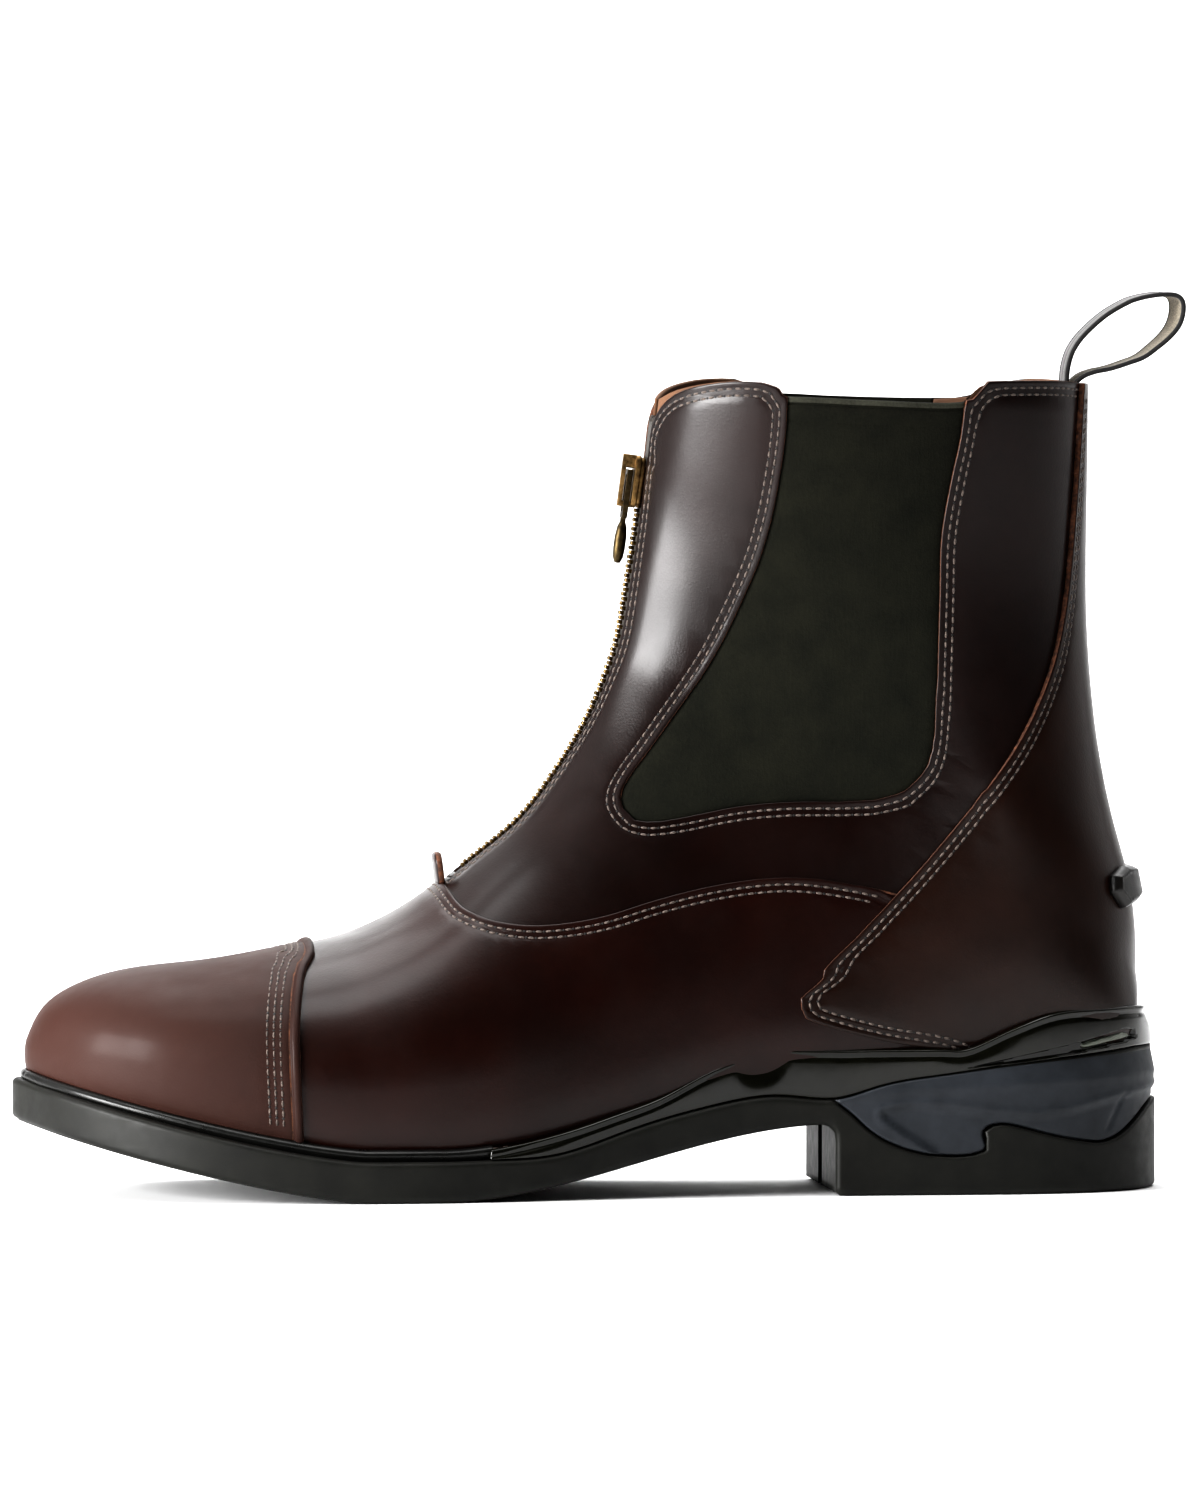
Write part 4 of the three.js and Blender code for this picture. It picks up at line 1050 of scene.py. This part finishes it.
cup_drop_at = natural_spline(CUP_DROP_ROWS[:, 0], CUP_DROP_ROWS[:, 1:])
cup_edge_line = through(CUP_EDGE_ROWS, 4)
cup_edge_line = spot(cup_edge_line[:, 0], cup_edge_line[:, 1])[::-1]


def cup_low(x):
    return feather(x) - np.maximum(0.0, cup_drop_at(along_at(x))[:, 0]) * SHAFT_HEIGHT


def cup_top(x):
    order = np.argsort(cup_edge_line[:, 0])
    return np.interp(x, cup_edge_line[order, 0], cup_edge_line[order, 1])


def ledge_height(x):
    """Height of the outsole's upper face."""
    return np.minimum(feather(x) - LEDGE_DROP, cup_low(x) - 0.15)


def sole_corners():
    """Corners of the sole's edge, from the toe along the outer side and back along the inner side."""
    x = SOLE_BACK - OUTLINE_ROWS[:, 0] * SOLE_LENGTH
    lateral = np.stack([x, -OUTLINE_ROWS[:, 1] * BALL_WIDTH], 1)
    medial = np.stack([x, OUTLINE_ROWS[:, 2] * BALL_WIDTH], 1)[1:-1]
    return np.concatenate([lateral, medial[::-1]])


corners = sole_corners()
sole_line = curve(np.concatenate([corners[-1:], corners, corners[:2]]), 24)
sole_walk = np.concatenate([[0.0], np.cumsum(np.linalg.norm(np.diff(sole_line, axis=0), axis=1))])
SOLE_ROUND = sole_walk[-1] + np.linalg.norm(sole_line[0] - sole_line[-1])


def sole_place(walk):
    """Places on the sole's outline, by the distance walked along it from the toe, outer side first."""
    walks = np.append(sole_walk, SOLE_ROUND)
    line = np.concatenate([sole_line, sole_line[:1]])
    walk = np.mod(walk, SOLE_ROUND)
    return np.stack([np.interp(walk, walks, line[:, 0]), np.interp(walk, walks, line[:, 1])], 1)


def sole_outwards(walk):
    return right_of(unit(sole_place(walk + 0.6) - sole_place(walk - 0.6)))


class WallSkin:
    """The sole's upright side, over [walk along the outline, height]."""

    def __init__(self, high=50.0, start=0.0, end=SOLE_ROUND):
        self.high, self.start, self.end = high, start, end

    def grid(self, step):
        return grid(evenly(self.start, self.end, step), evenly(0.0, self.high, step))

    def base(self, points):
        place = sole_place(points[:, 0])
        return np.stack([place[:, 0], place[:, 1], points[:, 1]], 1)

    def normal(self, points):
        out = sole_outwards(points[:, 0])
        return np.stack([out[:, 0], out[:, 1], np.zeros(len(out))], 1)


def sole_side():
    """Side view of the outsole: waist and forefoot, and the heel block behind a rounded breast."""
    x = evenly(BREAST_X - 3.0, -300.0, 3.0)
    top = evenly(-300.0, 80.0, 3.0)
    rise = float(ground(np.array([BREAST_X]))[0])
    corner = [[80.0, 0.0], [BREAST_X, 0.0], [BREAST_X, rise - 3.0], [BREAST_X - 0.9, rise - 0.9]]
    bottom_line, top_line = np.stack([x, ground(x)], 1), np.stack([top, ledge_height(top)], 1)
    return np.concatenate([np.array(corner), bottom_line, top_line])


# Side views in millimetres: the cushion's ridge and hollow leaf, its crease, and the cup's wedge and insert
RIDGE = np.array([[-60.0, 23.5], [-46.0, 25.0], [-25.8, 27.9], [-1.4, 28.5], [36.0, 30.8], [60.0, 31.5]])
LEAF = np.array([
    [-34.8, 23.0], [-26.1, 24.5], [-12.5, 23.4], [-3.0, 21.9], [7.6, 21.3], [18.2, 22.7], [28.8, 25.3],
    [46.0, 28.0], [60.0, 10.0], [30.0, 5.0], [-10.0, 4.0], [-34.0, 20.0],
])
CREASE = np.array([[33.1, 25.8], [28.6, 17.1]])
WEDGE = np.array([
    [-12.3, 33.5], [7.6, 37.7], [19.3, 40.1], [32.7, 43.3], [36.0, 42.9], [36.6, 40.4], [19.3, 37.2],
    [4.9, 35.1],
])
CHIP = np.array([[20.3, 39.6], [32.5, 42.5], [34.4, 42.1], [35.0, 40.9], [21.2, 38.4]])


def line_distance(points, line):
    """Distance from a side-view line, seen from the side."""
    place = points[:, SIDE_VIEW]
    best = np.full(len(place), np.inf)
    for a, b in zip(line[:-1], line[1:]):
        d = b - a
        share = np.clip(((place - a) @ d) / (d @ d), 0.0, 1.0)
        best = np.minimum(best, np.linalg.norm(place - a - share[:, None] * d, axis=1))
    return best


inner_sole = sole_line - sole_outwards(sole_walk) * EDGE_ROUND


def tread_depth(places, normals):
    """How far inside a wavy groove of the tread, away from the sole's edge."""
    wave = places[:, 0] + 14.0 * np.cos(places[:, 1] / 22.0)
    groove = TREAD_GROOVE / 2 - np.abs(np.mod(wave, TREAD_PITCH) - TREAD_PITCH / 2)
    return np.minimum(groove, inside_by(places, normals, inner_sole, PLAN) - 4.0)


REGIONS.update({
    "side": inside_region(sole_side()),
    "cushion": inside_region(CUSHION),
    "leaf": inside_region(LEAF),
    "wedge": inside_region(WEDGE),
    "chip": inside_region(CHIP),
    "plan": inside_region(inner_sole, PLAN),
    "tread": tread_depth,
    "under_cup": lambda p, n: cup_low(p[:, 0]) - 0.15 - p[:, 2],
    "ridge": lambda p, n: p[:, 2] - np.interp(p[:, 0], RIDGE[:, 0], RIDGE[:, 1]),
    "crease": lambda p, n: line_distance(p, CREASE),
    "bead_top": lambda p, n: feather(p[:, 0]) + BEAD_HEIGHT - p[:, 2],
    "before_cup": lambda p, n: x_at(CUP_START) - p[:, 0],
    "behind_start": lambda p, n: p[:, 0] - x_at(CUP_START) + 0.3,
    "notch": lambda p, n: BREAST_GROOVE / 2 - np.abs(p[:, 1]),
})

# Outsole wall, with its rounded edges
wall = panel(
    STEPS["wall"], 0.0, [("side", 1, 0.0), ("cushion", -1, -0.25)], (0.1, 0.3, 0.6, 1.0, 1.5),
    surface=WallSkin(),
)
wall_height = -rounded(wall.distance("side"), EDGE_ROUND) - rounded(-wall.distance("cushion") - 0.25, 0.6)
shell_piece("outsole_wall", wall, -WALL_DEPTH, wall_height, [RUBBER], "outsole", ["outsole"])

# Cushion let into the heel: a tilted upper band over a ridge, and a hollow leaf under it
cushion = panel(
    STEPS["cushion"], 0.0, [("cushion", 1, -0.25), ("under_cup", 1, -0.1)], (0.1, 0.3, 0.6),
    shown=("ridge", "leaf", "crease"), surface=WallSkin(45.0, SOLE_ROUND * 0.3, SOLE_ROUND * 0.72),
)


def cushion_height():
    ridge, leaf, crease = (cushion.distance(name) for name in ("ridge", "leaf", "crease"))
    height = -rounded(cushion.points[:, EDGE_COLUMN], 0.6)
    height = height - 0.2 * (ridge + np.sqrt(ridge**2 + 0.4)) / 2 - 0.2 * smooth(-ridge / 1.0)
    height = height - 0.75 * smooth(leaf / 1.6) + 0.35 * near(leaf, 0.0, 0.7)
    return height - 0.4 * near(crease, 0.0, 0.6)


shell_piece(
    "heel_cushion_side", cushion, -WALL_DEPTH, cushion_height(), [CUSHION_GREY], "cushion", ["heel_cushion"],
)


# Glossy cup round the heel and waist, from its rim on the leather out to the sole's edge
class CupSkin(WallSkin):
    """The cup's outside, over [walk, share from the lower edge to the rim]."""

    def __init__(self):
        super().__init__(1.0)
        self.walks = evenly(0.0, SOLE_ROUND, 1.5)
        place, out = sole_place(self.walks), sole_outwards(self.walks)
        knots = np.linspace(0, LAST_KNOT * 0.75, 400)
        angles = np.linspace(-1.7, 1.7, 170)
        k, a = (shares.ravel() for shares in np.meshgrid(knots, angles, indexing="ij"))
        cloud = form_point(k, a, 0.0) + form_normal(k, a) * 3.1
        rim = np.zeros(len(place))
        for i, (here, away) in enumerate(zip(place, out)):
            close = np.abs(cloud[:, 2] - cup_top(here[0])) < 1.2
            gap = here - cloud[close][:, :2]
            off_line = np.abs(gap[:, 0] * away[1] - gap[:, 1] * away[0])
            depth = gap @ away
            good = (off_line < 1.5) & (depth > -2.0) & (depth < 20.0)
            rim[i] = np.median(depth[good]) if good.any() else 5.0
        wrapped = np.concatenate([rim[-4:], rim, rim[:4]])
        self.rim = np.clip(np.convolve(wrapped, np.ones(9) / 9, "valid"), 0.8, 14.0)

    def grid(self, step):
        start, end = SOLE_ROUND * 0.17, SOLE_ROUND * 0.83
        return grid(evenly(start, end, step), np.linspace(0.0, 1.0, 25))

    def base(self, points):
        walk, up = points[:, 0], points[:, 1]
        place, out = sole_place(walk), sole_outwards(walk)
        low, high = cup_low(place[:, 0]) - 0.05, cup_top(place[:, 0])
        rim = np.interp(np.mod(walk, SOLE_ROUND), self.walks, self.rim)
        bulge = 0.9 * np.sin(np.clip(up, 0, 1) * math.pi) * np.clip(rim / 4, 0.2, 1.0)
        inset = 0.8 + (rim - 0.8) * np.clip(up, 0, 1) ** 1.15 - bulge
        place = place - out * inset[:, None]
        return np.stack([place[:, 0], place[:, 1], low + (high - low) * up], 1)

    def normal(self, points):
        points = points[:, :2]
        step = np.array([0.5, 0.0]), np.array([0.0, 0.02])
        along = self.base(points + step[0]) - self.base(points - step[0])
        up = self.base(points + step[1]) - self.base(points - step[1])
        normal = unit(np.cross(along, up))
        turn = np.sign((normal[:, :2] * sole_outwards(points[:, 0])).sum(1))
        return normal * np.where(turn == 0, 1.0, turn)[:, None]


CUP = CupSkin()
cup = panel(STEPS["cup"], 0.0, [("behind_start", 1, 0.0)], (0.3,), shown=("wedge", "chip"), surface=CUP)
cup = cup.split("wedge", (0.0, 0.3)).split("chip", (0.0, 0.3))


def cup_height():
    """The cup has a rim over a groove, rounded edges, and a wedge-shaped recess with an insert."""
    x = CUP.base(cup.points)[:, 0]
    up = cup.points[:, 1]
    span = cup_top(x) - cup_low(x)
    from_top = (1 - up) * span
    rim = 0.55 * near(from_top, 0.8, 0.7) - 0.25 * near(from_top, 2.1, 0.5)
    height = rim - rounded(from_top, 0.7) - rounded(up * span, 0.5)
    return height - 1.5 * smooth(cup.distance("wedge") / 0.3) + 1.1 * smooth(cup.distance("chip") / 0.3)


# The insert's faces take the pale material: a painted highlight on the raised insert.
cup_insert_painted_highlight = (cup.distance("chip")[cup.faces].mean(1) > 0).astype(int)
shell_piece(
    "glossy_cup", cup, -CUP_DEPTH, cup_height(), [GLOSSY, CHIP_PAINTED_HIGHLIGHT], "cup", ["heel_cup"], cup_insert_painted_highlight,
)

# Bead round the forefoot, and the ledge it stands on
bead = panel(
    STEPS["bead"], 2.6, [("bead_top", 1, 0.0), ("feather", 1, 0.1), ("before_cup", 1, 0.35)],
    (0.15, 0.4, 0.8, 1.2),
)
bead_edge = np.minimum(bead.distance("bead_top"), bead.distance("feather") + 0.6)
bead_height = BEAD_TOP - rounded(bead_edge, 1.3) * 1.3
shell_piece("welt_rail", bead, BEAD_FOOT, bead_height, [BEAD_BLACK], "bead", ["welt_bead"])


class LedgeSkin(WallSkin):
    """The outsole's upper face, over [walk, inset]."""

    def grid(self, step):
        return grid(evenly(0.0, SOLE_ROUND, step), [1.2, 1.6, 2.0, 2.3, 2.6, 3.0, 4.0, 6.0, 9.0])

    def base(self, points):
        place = sole_place(points[:, 0]) - sole_outwards(points[:, 0]) * points[:, 1:2]
        return np.stack([place[:, 0], place[:, 1], ledge_height(place[:, 0])], 1)

    def normal(self, points):
        return np.tile([0.0, 0.0, 1.0], (len(points), 1))


ledge = panel(STEPS["ledge"], 0.0, [], (), shown=("before_cup",), surface=LedgeSkin())
welt_groove = -0.5 * near(ledge.points[:, 1], 2.3, 0.35)
shell_piece("ledge", ledge, -1.5, welt_groove, [RUBBER], "outsole", ["outsole"])


class UnderSkin:
    """The sole's underside, over [x, y], facing down."""

    def __init__(self, height, start, end):
        self.height, self.start, self.end = height, start, end

    def grid(self, step):
        return grid(evenly(self.start, self.end, step), evenly(-60.0, 60.0, step))

    def base(self, points):
        return np.stack([points[:, 0], points[:, 1], self.height(points[:, 0])], 1)

    def normal(self, points):
        return np.tile([0.0, 0.0, -1.0], (len(points), 1))


def underside(name, height, start, end):
    surface = UnderSkin(height, start, end)
    made = panel(STEPS["tread"], 0.0, [("plan", 1, 0.0)], (), shown=("tread",), surface=surface)
    made = made.split("tread", (0.0, 0.15))
    depth = -TREAD_DEPTH * smooth(made.distance("tread") / 0.15)
    shell_piece(name, made, -3.0, depth, [RUBBER], "outsole", ["outsole"])


underside("tread_front", ground, -262.0, BREAST_X + 1.0)
underside("tread_heel", np.zeros_like, BREAST_X + EDGE_ROUND, 46.0)


class BreastSkin:
    """The heel's front face, over [y, height], facing the toe."""

    def grid(self, step):
        return grid(evenly(BREAST_OUTER, BREAST_INNER, step), evenly(1.0, 20.0, step))

    def base(self, points):
        return np.stack([np.full(len(points), BREAST_X), points[:, 0], points[:, 1]], 1)

    def normal(self, points):
        return np.tile([-1.0, 0.0, 0.0], (len(points), 1))


breast = panel(STEPS["breast"], 0.0, [], (), shown=("notch",), surface=BreastSkin())
breast = breast.split("notch", (0.0, 0.1))
notch = -BREAST_DEPTH * smooth(breast.distance("notch") / 0.1)
across = breast.points[:, 0]
corner = np.minimum(across - BREAST_OUTER, BREAST_INNER - across)
shell_piece("breast", breast, -5.0, notch - rounded(corner, 1.2), [RUBBER], "outsole", ["outsole"])

# The insole stays as it is
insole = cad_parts["insole"]
if not insole.material_slots:
    insole.data.materials.append(None)
insole.material_slots[0].material = INSOLE

# Elastic gores, with a hem along their tops
for side, node in (("outer_side", "gore_lateral"), ("inner_side", "gore_medial")):
    gore = panel(
        STEPS["gore"], GORE_TOP, [("gore", 1, 0.12), ("collar", 1, 0.0), (side, 1, 0.0)],
        (0.3, 0.8, 1.4, 2.2),
    )
    gore = gore.split("collar", (HEM, HEM_SLIT, HEM_SLIT + 0.4, HEM_SEAM - 0.2, HEM_SEAM + 0.2))
    under_top = gore.distance("collar")
    sunk = -0.45 * np.exp(-gore.distance("gore") / 0.9)
    slit = -0.45 * near(under_top, HEM_SLIT, 0.3) - 0.2 * near(under_top, HEM_SEAM, 0.35)
    height = GORE_TOP + sunk + slit - rounded(under_top, 0.4)
    hem = (under_top[gore.faces].mean(1) < HEM).astype(int)
    shell_piece("elastic_" + side, gore, GORE_BACK, height, [ELASTIC, ELASTIC_HEM], "gore", [node], hem)


# Small solids
class Local:
    """A place on the part with its own directions: across, up and out."""

    def __init__(self, origin, up, out):
        self.origin = np.asarray(origin, float)
        self.up, self.out = unit(np.array([up, out], float))
        self.across = np.cross(self.up, self.out)

    def put(self, points):
        across, up, out = (points[:, i : i + 1] for i in range(3))
        return self.origin + across * self.across + up * self.up + out * self.out


def rounded_rect(half, low, high, radius, steps=3):
    """Corners of a rounded rectangle, as [across, up]."""
    out = []
    side = half - radius
    middles = ((side, high - radius), (-side, high - radius), (-side, low + radius), (side, low + radius))
    for corner, (across, up) in enumerate(middles):
        for i in range(steps + 1):
            turn = (corner + i / steps) * math.pi / 2
            out.append((across + radius * math.cos(turn), up + radius * math.sin(turn)))
    return np.array(out)


def block(edge, layers):
    """A closed solid over a flat outline. The layers are rows of (out, inset)."""
    outwards = right_of(unit(np.roll(edge, -1, axis=0) - np.roll(edge, 1, axis=0)))
    rings = []
    for out, inset in layers:
        rings.append(np.concatenate([edge - outwards * inset, np.full((len(edge), 1), out)], 1))
    return np.concatenate(rings), tube_faces(len(layers), len(edge))


# Core of the heel, behind the gap round the cushion
core_walk = evenly(SOLE_ROUND * 0.2, SOLE_ROUND * 0.8, 3.0)
core_line = sole_place(core_walk) - sole_outwards(core_walk) * CORE_INSET
core_line = core_line[core_line[:, 0] > BREAST_X + 2.0]
core = block(core_line, ((3.4, 0.6), (4.0, 0.0), (24.0, 0.0), (24.6, 0.6)))
make_piece("heel_core", *core, [RUBBER], "outsole")

# Zip: tape, teeth and slider
tape = panel(STEPS["tape"], -TAPE_RECESS, [("slot", 1, 0.15), ("collar", 1, 0.0)], (0.3,))
tape_across = np.abs(skin(tape.points, 0.0)[:, 1])
tape_height = -TAPE_RECESS - 0.15 + 0.3 * near(tape_across, 3.3, 0.45)
shell_piece("zip_tape", tape, -TAPE_RECESS - TAPE_THICKNESS, tape_height, [TAPE], "zip_chain", ["zip"])

front_knots = np.linspace(0.0, LAST_KNOT, 3000)
front_angles = np.full(len(front_knots), math.pi)
front_line = form_point(front_knots, front_angles)
front_normals = form_normal(front_knots, front_angles)
on_chain = (front_line[:, 0] > x_at(THROAT) + 1.6) & (inside_by(front_line, front_normals, COLLAR) > 2.0)
chain_line = spaced(np.concatenate([front_line, front_normals], 1)[on_chain], TOOTH_PITCH / 2)

zip_low, zip_high = (spot(*FORM_ROWS[row, :2]) for row in (15, 17))
zip_place = zip_low + (zip_high - zip_low) * SLIDER_SHARE
zip_up = np.array([zip_high[0] - zip_low[0], 0.0, zip_high[1] - zip_low[1]])
ZIP = Local([zip_place[0], 0.0, zip_place[1]], zip_up, [-zip_up[2], 0.0, zip_up[0]])

TOOTH = rounded_rect(TOOTH_WIDTH / 2, -0.52, 0.52, 0.22, 2)
TOOTH_LAYERS = ((-0.9, 0.0), (0.2, 0.0), (0.42, 0.1), (CHAIN_TOP, 0.28))
teeth = []
for i, (here, ahead) in enumerate(zip(chain_line[:-1], chain_line[1:])):
    side = 1 if i % 2 else -1
    opened = float(smooth((here[2] - zip_place[1] - 8.0) / 5.0))
    local = Local(here[:3] + [0.0, side * (1.15 + 0.9 * opened), 0.0], ahead[:3] - here[:3], here[3:6])
    tooth_points, tooth_faces = block(TOOTH, TOOTH_LAYERS)
    teeth.append((local.put(tooth_points), tooth_faces))
make_piece("zip_teeth", *gather(teeth), [TEETH], "zip_chain")


def softened(node, name, material, body, width):
    """A node's shape with its flat faces joined and its edges rounded, in place of the node."""
    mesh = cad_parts[node].data.copy()
    mesh.name = name
    mesh.materials.clear()
    mesh.materials.append(material)
    work = bmesh.new()
    work.from_mesh(mesh)
    bmesh.ops.remove_doubles(work, verts=work.verts, dist=2e-6)
    bmesh.ops.dissolve_limit(work, angle_limit=math.radians(3), verts=work.verts, edges=work.edges)
    sharp = [edge for edge in work.edges if edge.is_manifold and edge.calc_face_angle() > math.radians(40)]
    bmesh.ops.bevel(
        work, geom=sharp, offset=width, segments=2, profile=0.5, affect="EDGES", clamp_overlap=True,
    )
    bmesh.ops.triangulate(work, faces=work.faces)
    for face in work.faces:
        face.material_index = 0
        face.smooth = True
    work.to_mesh(mesh)
    work.free()
    mesh.set_sharp_from_angle(angle=math.radians(38))
    dress(in_scene(name, mesh), body, [node])


softened("zip_slider", "slider_body", BRASS, "boot", 0.16 * MM)
cheek_points, cheek_faces = block(rounded_rect(4.1, -6.6, 6.6, 1.8), ((-0.45, 0.2), (-0.3, 0.0), (0.95, 0.0)))
make_piece("slider_cheeks", ZIP.put(cheek_points), cheek_faces, [BRASS], "brass")
softened("zip_pull", "slider_pull", ANTIQUE, "pull", 0.14 * MM)

# Throat tab over the lower end of the zip
tab_foot = spot(0.6285, 0.4)
TAB = Local([tab_foot[0], 0.0, tab_foot[1]], [-0.12, 0.0, 1.0], [-1.0, 0.0, -0.12])
TAB_LAYERS = ((0.0, 0.15), (0.15, 0.0), (1.5, 0.0), (1.85, 0.4))
tab_points, tab_faces = block(rounded_rect(6.0, -3.25, 6.5, 3.0, 6), TAB_LAYERS)
tab_sides = (np.ptp(tab_points[:, 2][tab_faces], axis=1) > 0.5).astype(int)
make_piece("throat_tab", TAB.put(tab_points), tab_faces, [VAMP, RAW_EDGE], "leather", ["upper"], tab_sides)

# Spur rest: a rubber ledge round the back of the counter
spur = panel(STEPS["spur"], 3.0, [("spur", 1, 0.0)], (0.2, 0.5, 0.9, 1.4, 2.0, 2.8))
spur_edge = spur.points[:, EDGE_COLUMN]
spur_height = 4.7 - rounded(spur_edge, 2.6) + 0.35 * near(spur_edge, 1.6, 0.4)
shell_piece("spur_ledge", spur, 1.5, spur_height, [SPUR_RUBBER], "bead", ["spur_rest"])


# Pull loop of striped webbing, with black edges
def webbing_section():
    """Corners of the webbing's cross-section, as [across, out]."""
    half = WEBBING_WIDTH / 2
    flat = np.linspace(-half + SELVEDGE, half - SELVEDGE, 15)
    face = [(y, WEBBING_THICKNESS / 2 - 0.12) for y in flat]
    inner = half - SELVEDGE + 0.02
    outer = half - 0.2
    edge = [(inner, 0.62), (outer, 0.55), (half, 0.2), (half, -0.2), (outer, -0.55), (inner, -0.62)]
    back = [(y, -out) for y, out in face[::-1]]
    return np.array(face + edge + back + [(-y, out) for y, out in edge[::-1]])


def pull_loop():
    line = through(LOOP_LINE, 8)
    line = spot(line[:, 0], line[:, 1])
    outwards = -right_of(unit(np.gradient(line, axis=0)))
    share = np.linspace(0.0, 1.0, len(line))
    twist = LOOP_TWIST * near(share, 0.55, 0.2)
    section = webbing_section()
    y, out = section.T
    rings = []
    for (x, z), (out_x, out_z), shift in zip(line, outwards, twist):
        rings.append(np.stack([x + out * out_x - shift * (y / WEBBING_WIDTH + 0.5), y, z + out * out_z], 1))
    sides = []
    for here, ahead in zip(section, np.roll(section, -1, axis=0)):
        middle = (here + ahead) / 2
        sides += [2 if abs(middle[0]) > WEBBING_WIDTH / 2 - SELVEDGE else int(middle[1] < 0)] * 2
    which = sides * (len(line) - 1) + [1] * (2 * len(section) - 4)
    make_piece(
        "webbing_loop", np.concatenate(rings), tube_faces(len(line), len(section)),
        [WEBBING, WEBBING_BACK, WEBBING_EDGE], "webbing", ["pull_loop"], which,
    )


pull_loop()


# Floor and backdrop, lights and camera
def stage():
    profile = [(-FLOOR_SIZE, 0.0), (COVE_START, 0.0)]
    for i in range(1, COVE_STEPS + 1):
        turn = i / COVE_STEPS * math.pi / 2
        profile.append((COVE_START + COVE_RADIUS * math.sin(turn), COVE_RADIUS * (1 - math.cos(turn))))
    profile.append((COVE_START + COVE_RADIUS, BACKDROP_HEIGHT))
    points = [(side * FLOOR_SIZE, y, z) for y, z in profile for side in (-1, 1)]
    faces = [(2 * i, 2 * i + 1, 2 * i + 3, 2 * i + 2) for i in range(len(profile) - 1)]
    mesh = bpy.data.meshes.new("floor")
    mesh.from_pydata(points, [], faces)
    mesh.polygons.foreach_set("use_smooth", [True] * len(mesh.polygons))
    n = new_material("floor")
    color = n.mix(n.noise(3.0), (0.9, 0.9, 0.9, 1.0), (0.93, 0.93, 0.93, 1.0))
    mesh.materials.append(n.finish(color, 0.7))
    in_scene("floor", mesh)


def aim(item, place, target):
    item.location = place
    item.rotation_euler = (Vector(target) - Vector(place)).to_track_quat("-Z", "Y").to_euler()


def lights():
    for row in LIGHTS:
        light = dict(zip(LIGHT_COLUMNS, row))
        data = bpy.data.lights.new(light["name"], "AREA")
        data.shape = "RECTANGLE"
        data.size = light["wide"]
        data.size_y = light["high"]
        data.energy = light["power"]
        aim(in_scene(light["name"], data), light["place"], light["target"])


def studio():
    """A world that is bright behind and above the boot and dark in front of it. The camera sees it pale."""
    n = Nodes(bpy.data.worlds.new("studio"), "Generated")
    height = n.math("ADD", n.math("MULTIPLY", n.axis("Y"), 0.8), n.math("MULTIPLY", n.axis("Z"), 0.6))
    fade = n.span(height, -0.25, 0.65, 0.015, 0.85, interpolation_type="SMOOTHSTEP")
    seen = n.add("ShaderNodeLightPath").outputs["Is Camera Ray"]
    background = n.tree.nodes["Background"]
    n.fill(background.inputs["Strength"], n.math("MAXIMUM", fade, seen))
    n.fill(background.inputs["Color"], (1.0, 1.0, 1.0, 1.0))
    bpy.context.scene.world = n.owner
    bpy.context.scene.view_settings.view_transform = "Standard"
    bpy.context.scene.view_settings.look = "High Contrast"


def camera():
    data = bpy.data.cameras.new("camera")
    data.lens = LENS
    data.sensor_width = 36.0
    data.clip_end = 50.0
    eye = in_scene("camera", data)
    aim(eye, EYE, AIM)
    bpy.context.scene.camera = eye


stage()
studio()
lights()
camera()
